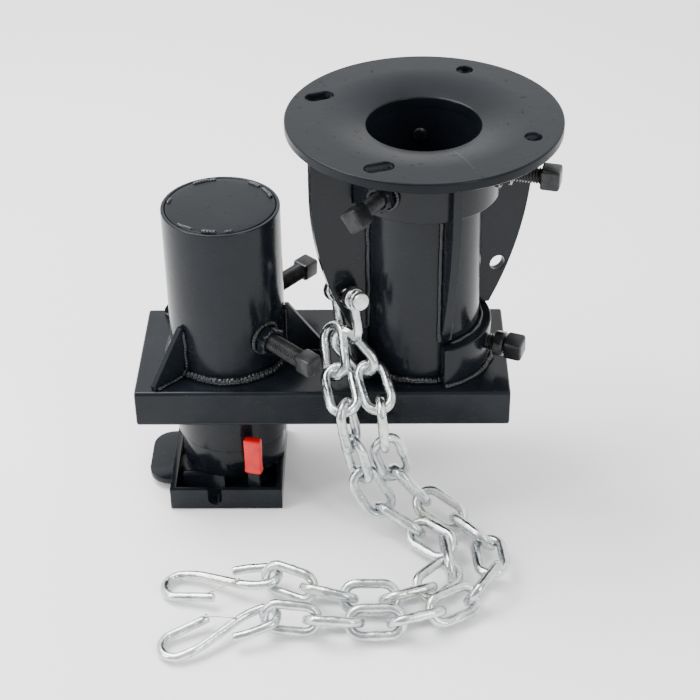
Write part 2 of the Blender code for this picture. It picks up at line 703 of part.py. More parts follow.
# Joints of each chain: from the bow over the front of the beam, down, and along the floor to the hook
RIGHT_ROUTE = [(-0.0790, -0.0380, -0.2190), (-0.0530, -0.0570, -0.2415), (-0.0410, -0.0920, -0.2600),
               (-0.0370, -0.0990, -0.3030), (-0.0240, -0.0950, -0.3430), (0.0030, -0.0980, -0.3760),
               (0.0370, -0.1150, -0.3905), (0.0640, -0.1470, -0.3908), (0.0670, -0.1850, -0.3900),
               (0.0470, -0.2200, -0.3908), (0.0100, -0.2430, -0.3911), (-0.0320, -0.2560, -0.3911),
               (-0.0900, -0.2555, -0.3908), (-0.1150, -0.2540, -0.3885),
               (-0.1700, -0.2500, -0.3852)]
LEFT_ROUTE = [(-0.0870, -0.0310, -0.2170), (-0.0830, -0.0600, -0.2430), (-0.0755, -0.0970, -0.2580),
              (-0.0680, -0.1000, -0.3030), (-0.0590, -0.1000, -0.3430), (-0.0390, -0.1090, -0.3770),
              (-0.0060, -0.1270, -0.3908), (0.0210, -0.1500, -0.3908), (0.0250, -0.1880, -0.3908),
              (-0.0020, -0.2130, -0.3908), (-0.0400, -0.2240, -0.3911), (-0.0790, -0.2210, -0.3911),
              (-0.1180, -0.2090, -0.3885), (-0.1700, -0.1860, -0.3848)]
RIGHT_UPPER, LEFT_UPPER = 10, 9   # links of each chain that stay with the frame
RIGHT_PITCH = [TAUT] * 10 + [0.0380] + [LINK_PITCH] * 3
LEFT_PITCH = [TAUT] * 6 + [0.035] * 4 + [LINK_PITCH] * 3      # slack in the bend


def link_frames(joints, twist):
    """One frame per link: X along the chain, Z out of the link's flat side. Each is a quarter turn
    from the last, after a first link that leans half way; the twist is spread over links 3 to 5."""
    frames = []
    for k, (start, end) in enumerate(zip(joints, joints[1:])):
        along = (end - start).normalized()
        facing = (VIEW_SIDE - along * VIEW_SIDE.dot(along)).normalized()
        roll = math.pi / 4 if k == 0 else math.pi / 2 * (k + 1) + twist * min(k - 1, 3) / 3
        normal = Matrix.Rotation(roll, 3, along) @ facing
        if k == len(joints) - 2:                 # the hook's eye turns the last link nearly upright
            normal.z *= 0.35
            normal = (normal - along * normal.dot(along)).normalized()
        side = normal.cross(along)
        rotation = Matrix((along, side, normal)).transposed().to_4x4()
        frames.append(Matrix.Translation((start + end) / 2) @ rotation)
    return frames


def make_chain(side, joints, frames, upper_links, mat):
    run = None
    for k, frame in enumerate(frames):
        upper = k < upper_links
        name = f"{side}_upper_chain" if k == 0 else f"{side}_link_{k + 1:02d}"
        wire = LINK_WIRE + 0.0006 if upper else LINK_WIRE
        link = swept(name, link_points(), wire, LINK_SIDES, mat["zinc"], closed=True, normal=Vector((0, 0, 1)))
        link.matrix_world = frame
        if k == 0:
            run = link
        elif upper:
            boolean(run, link, "UNION")
    return run


def hook_points():
    """S hook, flat in XY: small eye round the origin, long arm towards -X, wide bend at the far end."""
    eye_r, bend_r = 0.0122, 0.0150
    points = [(-0.033, 0.0105), (-0.020, 0.0124), (-0.008, 0.0124)]
    points += arc((0, 0), eye_r, math.radians(80), math.radians(-90), 7)
    points += [(-0.018, -0.0105), (-0.043, -0.0010), (-0.067, 0.0080)]
    points += arc((-0.084, -0.0050), bend_r, math.radians(95), math.radians(265), 8)
    points += [(-0.067, -0.0220), (-0.049, -0.0245)]
    return points


def make_hook(side, joints, heading, mirrored, mat):
    """The eye hangs in the last link's end; the wide bend rests on the floor."""
    along = (joints[-1] - joints[-2]).normalized()
    eye = joints[-1] + along * (LINK_LENGTH / 2 - LINK_WIRE - LINK_PITCH / 2)
    eye.z = joints[-1].z - 0.0025
    droop = math.atan2(eye.z - FLOOR - HOOK_WIRE - 0.0005, 0.095)
    frame = (Matrix.Translation(eye) @ Matrix.Rotation(heading, 4, "Z") @ Matrix.Rotation(-droop, 4, "Y"))
    flip = -1 if mirrored else 1
    points = [(x, flip * y, 0) for x, y in hook_points()]
    hook = swept(f"{side}_hook", points, HOOK_WIRE, 8, mat["zinc"], normal=Vector((0, 0, 1)))
    hook.matrix_world = frame
    wire = 0.0009
    above = HOOK_WIRE + wire + GAP
    gate = [(-0.024, -0.0070), (-0.032, -0.0120), (-0.044, -0.0190), (-0.053, -0.0235)]
    keeper = swept(f"{side}_hook_latch", [(x, flip * y, above) for x, y in gate], wire, 6,
                   mat["spring_steel"])
    keeper.matrix_world = frame


def make_chains(mat):
    joints = stations(RIGHT_ROUTE, RIGHT_PITCH)
    right = make_chain("right", joints, link_frames(joints, 0.0), RIGHT_UPPER, mat)
    make_hook("right", joints, math.radians(20), True, mat)
    joints = stations(LEFT_ROUTE, LEFT_PITCH)
    left = make_chain("left", joints, link_frames(joints, math.pi / 2), LEFT_UPPER, mat)
    make_hook("left", joints, math.radians(-3), False, mat)
    right.name = "upper_chains"                      # both runs press together where they leave the bow
    boolean(right, left, "UNION")
    boolean(right, swept("bow_cut", bow_points(), BOW_WIRE + GAP, 10, mat["zinc"]))


# ---------------------------------------------------------------- build

def main():
    for obj in list(bpy.data.objects):
        bpy.data.objects.remove(obj, do_unlink=True)
    mat = make_materials()
    make_top_plate(mat)
    make_collar(mat)
    make_king_tube(mat)
    make_wings_and_ribs(mat)
    make_feet(mat)
    make_collar_screws(mat)
    make_foot_bolt(mat)
    make_beam(mat)
    make_sleeve(mat)
    make_height_screws(mat)
    make_inner_column(mat)
    make_tray(mat)
    make_latch(mat)
    make_latch_spring(mat)
    make_shackle(mat)
    make_chains(mat)


main()
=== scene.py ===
import json
import math
import random

import bpy
import bmesh
from mathutils import Matrix, Vector, noise


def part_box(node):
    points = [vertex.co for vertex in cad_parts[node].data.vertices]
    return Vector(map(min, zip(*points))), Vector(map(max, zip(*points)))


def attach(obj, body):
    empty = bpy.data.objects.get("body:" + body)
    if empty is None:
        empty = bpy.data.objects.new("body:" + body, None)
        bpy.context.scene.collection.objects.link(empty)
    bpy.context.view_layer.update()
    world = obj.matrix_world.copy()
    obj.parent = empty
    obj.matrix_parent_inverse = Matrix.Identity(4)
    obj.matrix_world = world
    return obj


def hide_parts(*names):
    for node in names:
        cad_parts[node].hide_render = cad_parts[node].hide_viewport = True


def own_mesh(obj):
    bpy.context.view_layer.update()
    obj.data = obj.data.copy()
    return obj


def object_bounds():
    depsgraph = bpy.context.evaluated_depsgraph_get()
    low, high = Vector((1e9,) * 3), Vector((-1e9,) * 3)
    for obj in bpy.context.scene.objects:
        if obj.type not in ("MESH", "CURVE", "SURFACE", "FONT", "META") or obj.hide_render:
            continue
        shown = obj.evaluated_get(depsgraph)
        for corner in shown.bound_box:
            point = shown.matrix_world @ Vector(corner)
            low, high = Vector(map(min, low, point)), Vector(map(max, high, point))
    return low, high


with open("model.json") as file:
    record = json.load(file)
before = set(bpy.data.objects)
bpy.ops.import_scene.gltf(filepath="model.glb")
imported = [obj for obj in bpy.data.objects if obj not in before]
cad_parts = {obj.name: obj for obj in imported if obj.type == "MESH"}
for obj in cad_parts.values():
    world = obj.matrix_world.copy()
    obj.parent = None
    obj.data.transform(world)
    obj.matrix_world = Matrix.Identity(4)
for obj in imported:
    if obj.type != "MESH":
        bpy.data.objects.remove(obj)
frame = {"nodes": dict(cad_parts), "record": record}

CAD_BOX = [list(map(float, corner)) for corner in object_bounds()]
RECORD = frame["record"]
BODY_OF = {node: body for body, nodes in RECORD["behaviour"]["bodies"].items() for node in nodes}
SLOT_OF = {entry["node"]: entry["material_slot"] for entry in RECORD["subparts"]}
scene = bpy.context.scene

# ---- sizes, in metres

GAP = 0.0003
TUBE_R = 4.5 * 0.0254 / 2
COLUMN_SPACING = 0.1926
TURN = math.radians(21.7)
PLATE_R, PLATE_T, PLATE_LAND_R, PLATE_DISH = 0.129, 0.0095, 0.100, 0.008
BORE_R = 0.0535
BOLT_CIRCLE_R, BOLT_HOLE_R, BOLT_SLOT = 0.1057, 0.008, 0.012
BEAM_TOP, BEAM_H, BEAM_D = -0.2605, 0.040, 0.150
BEAM_X0, BEAM_X1, BEAM_CORNER = -0.281, 0.086, 0.004
COLLAR_R = 0.073
COLLAR_BOTTOM = BEAM_TOP + 0.1875
RIB_T = 0.009
WING_R, RIB_R = 0.1135, 0.0805
CURVE_TOP = BEAM_TOP + 0.200
WING_CURVE, RIB_CURVE = 0.322, 0.560
FOOT_R = 0.0695
FOOT_TOP = BEAM_TOP + 0.042
CHAIN_HOLE = (0.080, BEAM_TOP + 0.0855, 0.0080)
SLEEVE_TOP = BEAM_TOP + 0.167
SLEEVE_BOTTOM = BEAM_TOP - 0.087
SLEEVE_WALL = 0.0036
GUSSET_T, GUSSET_LEG, GUSSET_HEIGHT = 0.006, 0.041, 0.055
INNER_R, CAP_T = 0.053, 0.005
FLOOR = BEAM_TOP - 0.147
COLLAR_THREAD_R, COLUMN_THREAD_R, FOOT_THREAD_R = 0.0078, 0.0088, 0.0080
COLLAR_SCREW_Z = BEAM_TOP + 0.213
FOOT_BOLT_Z = BEAM_TOP + 0.0275
HEIGHT_SCREW_Z = BEAM_TOP + 0.041
LINK_WIRE, LINK_LENGTH, LINK_WIDTH, LINK_PITCH = 0.0046, 0.0595, 0.035, 0.0394
TAUT = 0.0414
HOOK_WIRE = 0.0043
NUT_FLATS, HEIGHT_NUT_FLATS = 0.024, 0.027
COLLAR_HEAD_FLATS, HEIGHT_HEAD_FLATS = 0.020, 0.0185
COLLAR_SCREWS = ((345, 0), (239.5, 37), (92, 62))       # direction and turn of each head, in degrees
HEIGHT_SCREWS = (("front", 315), ("back", 50))
FOOT_BOLT_DEGREES = 338
GUSSETS = (("right_gusset", 0), ("front_gusset", 225), ("back_gusset", 135))
# direction, half its spread in degrees and bead radius of each tack on the column's cap
CAP_TACKS = ((233, 11, 0.0020), (262, 9, 0.0022), (283, 5, 0.0018), (28, 12, 0.0022),
             (52, 8, 0.0019), (112, 14, 0.0021), (170, 6, 0.0018))
SEAM_ANGLE = math.radians(291.7)
SPRING_WIRE_R, SPRING_COILS, LATCH_TRAVEL = 0.0008, 11, 0.0165
QUARTER_TURN = [math.radians(15 * k) for k in range(7)]
SIDES_AB = ((-1, "a"), (1, "b"))


# ---- objects

def new_object(name, data):
    obj = bpy.data.objects.new(name, data)
    scene.collection.objects.link(obj)
    return obj


def mesh_object(name, bm, material):
    """A scene object from a finished bmesh, which is freed."""
    mesh = bpy.data.meshes.new(name)
    bm.to_mesh(mesh)
    bm.free()
    mesh.materials.append(material)
    return new_object(name, mesh)


# ---- shader tools

def shader_of(name):
    material = bpy.data.materials.new(name)
    material.use_nodes = True
    return material, material.node_tree, material.node_tree.nodes["Principled BSDF"]


def set_inputs(node, **values):
    """Set a node's inputs given by name, with underscores for spaces."""
    for name, value in values.items():
        node.inputs[name.replace("_", " ")].default_value = value


def object_noise(tree, scale, detail, roughness, stretch=None):
    """Noise over the object's own coordinates; scale is in features per metre."""
    place = tree.nodes.new("ShaderNodeTexCoord").outputs["Object"]
    if stretch:
        mapping = tree.nodes.new("ShaderNodeMapping")
        mapping.inputs["Scale"].default_value = stretch
        tree.links.new(place, mapping.inputs["Vector"])
        place = mapping.outputs["Vector"]
    texture = tree.nodes.new("ShaderNodeTexNoise")
    set_inputs(texture, Scale=scale, Detail=detail, Roughness=roughness)
    tree.links.new(place, texture.inputs["Vector"])
    return texture.outputs["Fac"]


def remap(tree, value, low, high, out_low, out_high, smooth=False):
    node = tree.nodes.new("ShaderNodeMapRange")
    set_inputs(node, From_Min=low, From_Max=high, To_Min=out_low, To_Max=out_high)
    if smooth:
        node.interpolation_type = "SMOOTHSTEP"
    tree.links.new(value, node.inputs["Value"])
    return node.outputs["Result"]


def blended(tree, factor, first, second):
    node = tree.nodes.new("ShaderNodeMix")
    node.data_type = "RGBA"
    tree.links.new(factor, node.inputs["Factor"])
    for socket, value in ((node.inputs[6], first), (node.inputs[7], second)):
        if isinstance(value, tuple):
            socket.default_value = (*value, 1.0)
        else:
            tree.links.new(value, socket)
    return node.outputs[2]


def bumped(tree, shader, layers):
    """Stack bump layers: (height socket, strength, distance in metres)."""
    previous = None
    for height, strength, distance in layers:
        bump = tree.nodes.new("ShaderNodeBump")
        set_inputs(bump, Strength=strength, Distance=distance)
        tree.links.new(height, bump.inputs["Height"])
        if previous:
            tree.links.new(previous, bump.inputs["Normal"])
        previous = bump.outputs["Normal"]
    tree.links.new(previous, shader.inputs["Normal"])


def finished(tree, shader, colour, roughness, layers):
    tree.links.new(colour, shader.inputs["Base Color"])
    tree.links.new(roughness, shader.inputs["Roughness"])
    bumped(tree, shader, layers)


# ---- camera, light and floor

def aim(obj, location, target, roll=0.0):
    forward = (Vector(target) - Vector(location)).normalized()
    turn = forward.to_track_quat("-Z", "Y").to_matrix().to_4x4()
    obj.matrix_world = Matrix.Translation(location) @ turn @ Matrix.Rotation(roll, 4, "Z")


CAMERA_AZIMUTH, CAMERA_ELEVATION, CAMERA_ROLL = (math.radians(a) for a in (-0.93, 34.85, -0.77))
CAMERA_TARGET = Vector((-0.0708, -0.0019, -0.2605))
CAMERA_DISTANCE = 1.70
CAMERA_FOCAL = 1689.8 / 700.0     # focal length over the picture's width
SENSOR_WIDTH = 36.0               # mm


def make_camera():
    azimuth, elevation = CAMERA_AZIMUTH, CAMERA_ELEVATION
    forward = Vector((math.sin(azimuth) * math.cos(elevation), math.cos(azimuth) * math.cos(elevation),
                      -math.sin(elevation)))
    data = bpy.data.cameras.new("camera")
    data.sensor_width = SENSOR_WIDTH
    data.lens = CAMERA_FOCAL * SENSOR_WIDTH
    data.clip_start = 0.05
    camera = new_object("camera", data)
    aim(camera, CAMERA_TARGET - forward * CAMERA_DISTANCE, CAMERA_TARGET, CAMERA_ROLL)
    scene.camera = camera


def area_light(name, location, target, size, power):
    data = bpy.data.lights.new(name, "AREA")
    data.shape = "RECTANGLE"
    data.size, data.size_y = size
    data.energy = power
    aim(new_object(name, data), location, target)


LIGHTS = (      # name, place, where it points, size in metres, power in watts
    ("key", (-0.9, 0.3, 1.5), (-0.05, 0, -0.2), (1.2, 1.2), 62),
    ("front_strip", (0.9, -1.2, 0.7), (0.0, 0, -0.2), (0.25, 1.2), 12),
    ("left_strip", (-1.5, -0.7, 0.6), (-0.1, 0, -0.2), (0.3, 1.2), 16),
)


def make_world():
    """Soft white surround, dimmer on the camera's side than behind the object."""
    world = bpy.data.worlds.new("studio")
    world.use_nodes = True
    scene.world = world
    nodes, links = world.node_tree.nodes, world.node_tree.links
    background = nodes["Background"]
    coords = nodes.new("ShaderNodeTexCoord")
    split = nodes.new("ShaderNodeSeparateXYZ")
    links.new(coords.outputs["Generated"], split.inputs[0])
    strength = remap(world.node_tree, split.outputs["Y"], -0.75, 0.45, 0.80, 2.00, True)
    links.new(strength, background.inputs["Strength"])
    background.inputs["Color"].default_value = (1.0, 1.0, 1.0, 1.0)


def make_stage():
    """A pale floor just under the object's lowest point."""
    material, tree, shader = shader_of("floor_paper")
    set_inputs(shader, Roughness=0.9, Specular_IOR_Level=0.1)
    grain = tree.nodes.new("ShaderNodeTexNoise")
    set_inputs(grain, Scale=40.0)
    white = remap(tree, grain.outputs["Fac"], 0.0, 1.0, 0.955, 0.965)
    tree.links.new(white, shader.inputs["Base Color"])
    bm = bmesh.new()
    bmesh.ops.create_grid(bm, x_segments=1, y_segments=1, size=6.0)
    floor = mesh_object("floor", bm, material)
    floor.location.z = CAD_BOX[0][2] - GAP


# ---- materials

def gloss_black(name, roughness, spread, peel, grey, specular, coat):
    """Sprayed black enamel: orange peel, soft cloudy sheen, faint dust and a few fine scuffs."""
    material, tree, shader = shader_of(name)
    cloud = object_noise(tree, 14.0, 4.0, 0.6)
    dust = object_noise(tree, 260.0, 5.0, 0.7)
    scuff = object_noise(tree, 90.0, 2.0, 0.5, (1.0, 1.0, 14.0))
    base = blended(tree, remap(tree, cloud, 0.35, 0.65, 0.0, 1.0, True), grey,
                   tuple(c * 1.5 for c in grey))
    specks = remap(tree, dust, 0.66, 0.74, 0.0, 0.35)
    base = blended(tree, specks, base, (0.1, 0.10, 0.105))
    rough = remap(tree, cloud, 0.3, 0.7, roughness - spread / 2, roughness + spread / 2)
    rubbed = remap(tree, scuff, 0.66, 0.72, 0.0, 0.18)
    add = tree.nodes.new("ShaderNodeMath")
    add.operation = "ADD"
    tree.links.new(rough, add.inputs[0])
    tree.links.new(rubbed, add.inputs[1])
    orange_peel = object_noise(tree, 420.0, 2.0, 0.4)
    ripple = object_noise(tree, 55.0, 2.0, 0.5)
    finished(tree, shader, base, add.outputs[0], [(ripple, 0.25, 0.0006), (orange_peel, peel, 0.00012)])
    set_inputs(shader, Specular_IOR_Level=specular, Coat_Weight=coat, Coat_Roughness=0.10)
    return material


def black_oxide():
    material, tree, shader = shader_of("black_oxide_steel")
    cloud = object_noise(tree, 120.0, 4.0, 0.6)
    grain = object_noise(tree, 900.0, 4.0, 0.7)
    rub = object_noise(tree, 45.0, 5.0, 0.65)
    base = blended(tree, remap(tree, cloud, 0.35, 0.65, 0.0, 1.0), (0.01, 0.0105, 0.012),
                   (0.026, 0.0265, 0.028))
    base = blended(tree, remap(tree, rub, 0.60, 0.72, 0.0, 0.5), base, (0.075, 0.074, 0.073))
    finished(tree, shader, base, remap(tree, grain, 0.3, 0.7, 0.26, 0.42),
             [(cloud, 0.35, 0.0004), (grain, 0.4, 0.00008)])
    set_inputs(shader, Metallic=0.6)
    return material


def zinc_plate():
    """Bright zinc: brushed by tumbling, with cloudy passivation that leans green-yellow in places."""
    material, tree, shader = shader_of("zinc_plate")
    cloud = object_noise(tree, 60.0, 4.0, 0.6)
    passivation = object_noise(tree, 32.0, 3.0, 0.55)
    pits = object_noise(tree, 700.0, 4.0, 0.65)
    dents = object_noise(tree, 150.0, 2.0, 0.5)
    base = blended(tree, remap(tree, cloud, 0.35, 0.65, 0.0, 1.0), (0.44, 0.465, 0.475),
                   (0.74, 0.765, 0.77))
    base = blended(tree, remap(tree, passivation, 0.50, 0.72, 0.0, 0.5, True), base,
                   (0.56, 0.58, 0.44))
    dirt = remap(tree, pits, 0.64, 0.76, 0.0, 0.55)
    base = blended(tree, dirt, base, (0.3, 0.31, 0.31))
    finished(tree, shader, base, remap(tree, cloud, 0.3, 0.7, 0.16, 0.34),
             [(dents, 0.6, 0.0008), (pits, 0.35, 0.00012)])
    set_inputs(shader, Metallic=1.0)
    return material


def red_vinyl():
    material, tree, shader = shader_of("red_vinyl")
    cloud = object_noise(tree, 80.0, 3.0, 0.5)
    grain = object_noise(tree, 1400.0, 3.0, 0.6)
    base = blended(tree, remap(tree, cloud, 0.35, 0.65, 0.0, 1.0), (0.48, 0.0008, 0.0022),
                   (0.66, 0.0015, 0.0035))
    finished(tree, shader, base, remap(tree, cloud, 0.3, 0.7, 0.26, 0.40),
             [(cloud, 0.3, 0.0006), (grain, 0.2, 0.00006)])
    set_inputs(shader, Specular_IOR_Level=0.35, Coat_Weight=0.12, Coat_Roughness=0.15)
    return material


def spring_wire():
    material, tree, shader = shader_of("spring_wire")
    streak = object_noise(tree, 500.0, 3.0, 0.6, (1.0, 1.0, 0.2))
    base = blended(tree, remap(tree, streak, 0.35, 0.65, 0.0, 1.0), (0.42, 0.42, 0.43),
                   (0.62, 0.62, 0.63))
    finished(tree, shader, base, remap(tree, streak, 0.3, 0.7, 0.22, 0.38), [(streak, 0.2, 0.00005)])
    set_inputs(shader, Metallic=1.0)
    return material


MAT = {
    "black_paint": gloss_black("gloss_black", 0.20, 0.10, 0.35, (0.0046, 0.0060, 0.0082), 0.16, 0.05),
    # the plate's top is sprayed drier than the tubes, so it shines less
    "plate_black": gloss_black("plate_black", 0.36, 0.10, 0.5, (0.0032, 0.0046, 0.0064), 0.11, 0.05),
    "weld": gloss_black("weld_black", 0.13, 0.06, 1.0, (0.0045, 0.0055, 0.0070), 0.32, 0.15),
    "black_oxide": black_oxide(),
    "zinc": zinc_plate(),
    "red_grip": red_vinyl(),
    "spring_steel": spring_wire(),
}


# ---- mesh tools

def polar(radius, angle, z=0.0):
    return Vector((radius * math.cos(angle), radius * math.sin(angle), z))


def arc(centre, radius, start, end, steps):
    points = []
    for k in range(steps + 1):
        angle = start + (end - start) * k / steps
        points.append((centre[0] + radius * math.cos(angle), centre[1] + radius * math.sin(angle)))
    return points


def rounded(outline, radius, steps=3, skip=()):
    """Round the corners of a closed outline; corners listed in skip stay sharp."""
    result = []
    count = len(outline)
    for k, corner in enumerate(outline):
        here = Vector(corner)
        before, after = Vector(outline[k - 1]), Vector(outline[(k + 1) % count])
        a, b = (before - here), (after - here)
        reach = min(radius, a.length * 0.45, b.length * 0.45)
        if k in skip or reach < 1e-6 or abs(a.normalized().dot(b.normalized())) > 0.985:
            result.append(corner)
            continue
        start, end = here + a.normalized() * reach, here + b.normalized() * reach
        for i in range(steps + 1):
            t = i / steps
            point = start * (1 - t) ** 2 + here * 2 * t * (1 - t) + end * t * t
            result.append((point.x, point.y))
    return result


def rounded_rectangle(width, height, corner, steps=8):
    outline = []
    for quadrant, (sx, sy) in enumerate(((1, 1), (-1, 1), (-1, -1), (1, -1))):
        centre = (sx * (width / 2 - corner), sy * (height / 2 - corner))
        start = quadrant * math.pi / 2
        outline += arc(centre, corner, start, start + math.pi / 2, steps)
    return outline


def ring_of(bm, place, outline, z):
    return [bm.verts.new(place @ Vector((x, y, z))) for x, y in outline]


def to_piece(name, bm, material, sharp=None):
    """A smooth-shaded object; edges past the angle sharp, in degrees, stay hard."""
    bmesh.ops.recalc_face_normals(bm, faces=bm.faces)
    for face in bm.faces:
        face.smooth = True
    if sharp is not None:
        limit = math.radians(sharp)
        for edge in bm.edges:
            edge.smooth = len(edge.link_faces) == 2 and edge.calc_face_angle(0.0) < limit
    return mesh_object(name, bm, material)


def soften(obj, width, segments=3, angle=35):
    modifier = obj.modifiers.new("edge", "BEVEL")
    modifier.width = width
    modifier.segments = segments
    modifier.limit_method = "ANGLE"
    modifier.angle_limit = math.radians(angle)
    modifier.harden_normals = True
    return obj


def bridge(bm, rings, closed=False):
    """Faces between each ring of vertices and the next; open runs are capped at both ends."""
    for near, far in zip(rings, rings[1:] + rings[:1] if closed else rings[1:]):
        for i in range(len(near)):
            j = (i + 1) % len(near)
            bm.faces.new([near[i], near[j], far[j], far[i]])
    if not closed:
        bm.faces.new(rings[0])
        bm.faces.new(rings[-1])


def turned_mesh(outline, segments, start=0.0, end=math.tau):
    bm = bmesh.new()
    whole = end - start > math.tau - 1e-6
    steps = segments if whole else segments + 1
    rings = []
    for k in range(steps):
        angle = start + (end - start) * k / segments
        rings.append([bm.verts.new(polar(r, angle, z)) for r, z in outline])
    count = len(outline)
    for k in range(segments):
        near, far = rings[k], rings[(k + 1) % steps]
        for i in range(count):
            j = (i + 1) % count
            corners = [near[i], near[j], far[j], far[i]]
            if outline[i][0] < 1e-9:
                corners.remove(far[i])
            if outline[j][0] < 1e-9:
                corners.remove(far[j])
            if len(corners) > 2:
                bm.faces.new(corners)
    if whole:
        bmesh.ops.remove_doubles(bm, verts=bm.verts, dist=1e-7)
    else:
        bm.faces.new(rings[0])
        bm.faces.new(rings[-1])
    return bm


def turned(name, outline, material, segments=128, start=0.0, end=math.tau, sharp=50):
    return to_piece(name, turned_mesh(outline, segments, start, end), material, sharp)


def extruded(name, outline, thickness, place):
    """A flat plate of black paint, half its thickness to each side of its outline."""
    bm = bmesh.new()
    bridge(bm, [ring_of(bm, place, outline, z) for z in (-thickness / 2, thickness / 2)])
    return to_piece(name, bm, MAT["black_paint"])


def tube(bm, path, radii, sides, closed=False, normal=None):
    """A round tube along a path, its sides carried along without twisting."""
    count = len(path)
    rings = []
    side = normal
    for k in range(count):
        before = path[(k - 1) % count] if closed or k > 0 else path[k]
        after = path[(k + 1) % count] if closed or k < count - 1 else path[k]
        along = (after - before).normalized()
        if side is None:
            side = along.orthogonal()
        side = (side - along * side.dot(along)).normalized()
        across = along.cross(side)
        ring = []
        for s in range(sides):
            angle = math.tau * (s + 0.5) / sides
            offset = side * math.cos(angle) + across * math.sin(angle)
            ring.append(bm.verts.new(path[k] + offset * radii[k]))
        rings.append(ring)
    bridge(bm, rings, closed)


def swept(name, points, radius, sides, material, closed=False, normal=None, round_ends=True, radii=None):
    path = [Vector(p) for p in points]
    radii = radii or [radius] * len(path)
    if round_ends and not closed:
        head, tail = (path[0] - path[1]).normalized(), (path[-1] - path[-2]).normalized()
        front = [(path[0] + head * radius * 0.35, 0.72), (path[0] + head * radius * 0.22, 0.90)]
        back = [(path[-1] + tail * radius * 0.22, 0.90), (path[-1] + tail * radius * 0.35, 0.72)]
        path = [p for p, _ in front] + path + [p for p, _ in back]
        radii = [radius * f for _, f in front] + radii + [radius * f for _, f in back]
    bm = bmesh.new()
    tube(bm, path, radii, sides, closed, normal)
    return to_piece(name, bm, material, 45)


def pointing(origin, direction, upright=Vector((0, 0, 1))):
    z = Vector(direction).normalized()
    x = upright.cross(z)
    if x.length < 1e-6:
        x = Vector((1, 0, 0))
    x.normalize()
    y = z.cross(x)
    return Matrix.Translation(origin) @ Matrix((x, y, z)).transposed().to_4x4()


def ride(obj, node_or_body, slot="black_paint", *nodes):
    """Ride on a body and stand for the CAD nodes given; slot is not used."""
    body = BODY_OF.get(node_or_body, node_or_body)
    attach(obj, body)
    if nodes:
        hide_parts(*nodes)
    return obj


def stand_in(obj, node):
    return ride(obj, node, SLOT_OF[node], node)


def turned_skin(node, outline, material="black_paint", segments=144, sharp=40, centre_x=0.0):
    piece = turned(f"{node}_skin", outline, MAT[material], segments, sharp=sharp)
    piece.data.transform(Matrix.Translation((centre_x, 0, 0)))
    return stand_in(piece, node)


def refined(node, material, width):
    """A CAD node's own shape with its facets merged and its edges softened."""
    mesh = frame["nodes"][node].data.copy()
    bm = bmesh.new()
    bm.from_mesh(mesh)
    bmesh.ops.remove_doubles(bm, verts=bm.verts, dist=1e-6)
    bmesh.ops.dissolve_limit(bm, angle_limit=math.radians(0.7), use_dissolve_boundaries=False,
                             verts=bm.verts, edges=bm.edges, delimit=set())
    obj = to_piece(f"{node}_skin", bm, material)
    soften(obj, width, 2, 30)
    stand_in(obj, node)


# ---- weld beads

def bead(name, points, radius, seed, ripple=0.0032, closed=False, body="frame"):
    """A run of overlapping weld puddles along a path."""
    rng = random.Random(seed)
    path = [Vector(p) for p in points]
    loop = path + [path[0]] if closed else path
    lengths = [0.0]
    for a, b in zip(loop, loop[1:]):
        lengths.append(lengths[-1] + (b - a).length)
    total = lengths[-1]
    step = ripple / 5
    count = max(8, int(total / step))
    fine, radii = [], []
    swell = rng.random() * 10
    for k in range(count + (0 if closed else 1)):
        s = total * k / count
        i = 0
        while i < len(lengths) - 2 and lengths[i + 1] < s:
            i += 1
        span = max(lengths[i + 1] - lengths[i], 1e-9)
        point = loop[i].lerp(loop[i + 1], (s - lengths[i]) / span)
        phase = (s / ripple + 0.25 * noise.noise(Vector((s * 120, swell, 0)))) % 1.0
        puddle = 0.78 + 0.30 * math.sin(math.pi * phase) ** 0.6
        wander = 1.0 + 0.24 * noise.noise(Vector((s * 60, swell, 5)))
        shift = Vector([noise.noise(Vector((s * 90, swell, lane))) for lane in (1, 2, 3)])
        fine.append(point + shift * radius * 0.34)
        radii.append(radius * puddle * wander)
    if not closed:
        for k, fade in enumerate((0.45, 0.7, 0.87, 0.96)):
            radii[k] *= fade
            radii[-1 - k] *= fade
    bm = bmesh.new()
    tube(bm, fine, radii, 10, closed)
    return ride(to_piece(name, bm, MAT["weld"]), body)


def ring_points(radius, z, start=0.0, end=math.tau, centre_x=0.0, steps=72):
    """Points along a level arc; a whole turn leaves out the last, which is the first again."""
    centre = Vector((centre_x, 0, 0))
    count = steps if end - start >= math.tau else steps + 1
    return [centre + polar(radius, start + (end - start) * k / steps, z) for k in range(count)]


def nut_weld(name, origin, degrees, ring_r, height, radius, seed):
    place = pointing(origin, polar(1, math.radians(degrees)))
    ring = [place @ polar(ring_r, math.tau * s / 48, height) for s in range(48)]
    bead(name, ring, radius, seed, closed=True)


# ---- king-pin column

def dish(radius):
    if radius >= PLATE_LAND_R:
        return 0.0
    return -PLATE_DISH * ((PLATE_LAND_R - radius) / (PLATE_LAND_R - BORE_R)) ** 2


def dish_slope(radius):
    if radius >= PLATE_LAND_R:
        return 0.0
    return 2 * PLATE_DISH * (PLATE_LAND_R - radius) / (PLATE_LAND_R - BORE_R) ** 2


def flatten_normals(obj):
    """Keep the big flats flat and let only the rounded edges shade round."""
    modifier = obj.modifiers.new("flats", "WEIGHTED_NORMAL")
    modifier.keep_sharp = True
    modifier.weight = 100


def apply_modifiers(obj):
    evaluated = obj.evaluated_get(bpy.context.evaluated_depsgraph_get())
    mesh = bpy.data.meshes.new_from_object(evaluated)
    obj.modifiers.clear()
    old = obj.data
    obj.data = mesh
    bpy.data.meshes.remove(old)


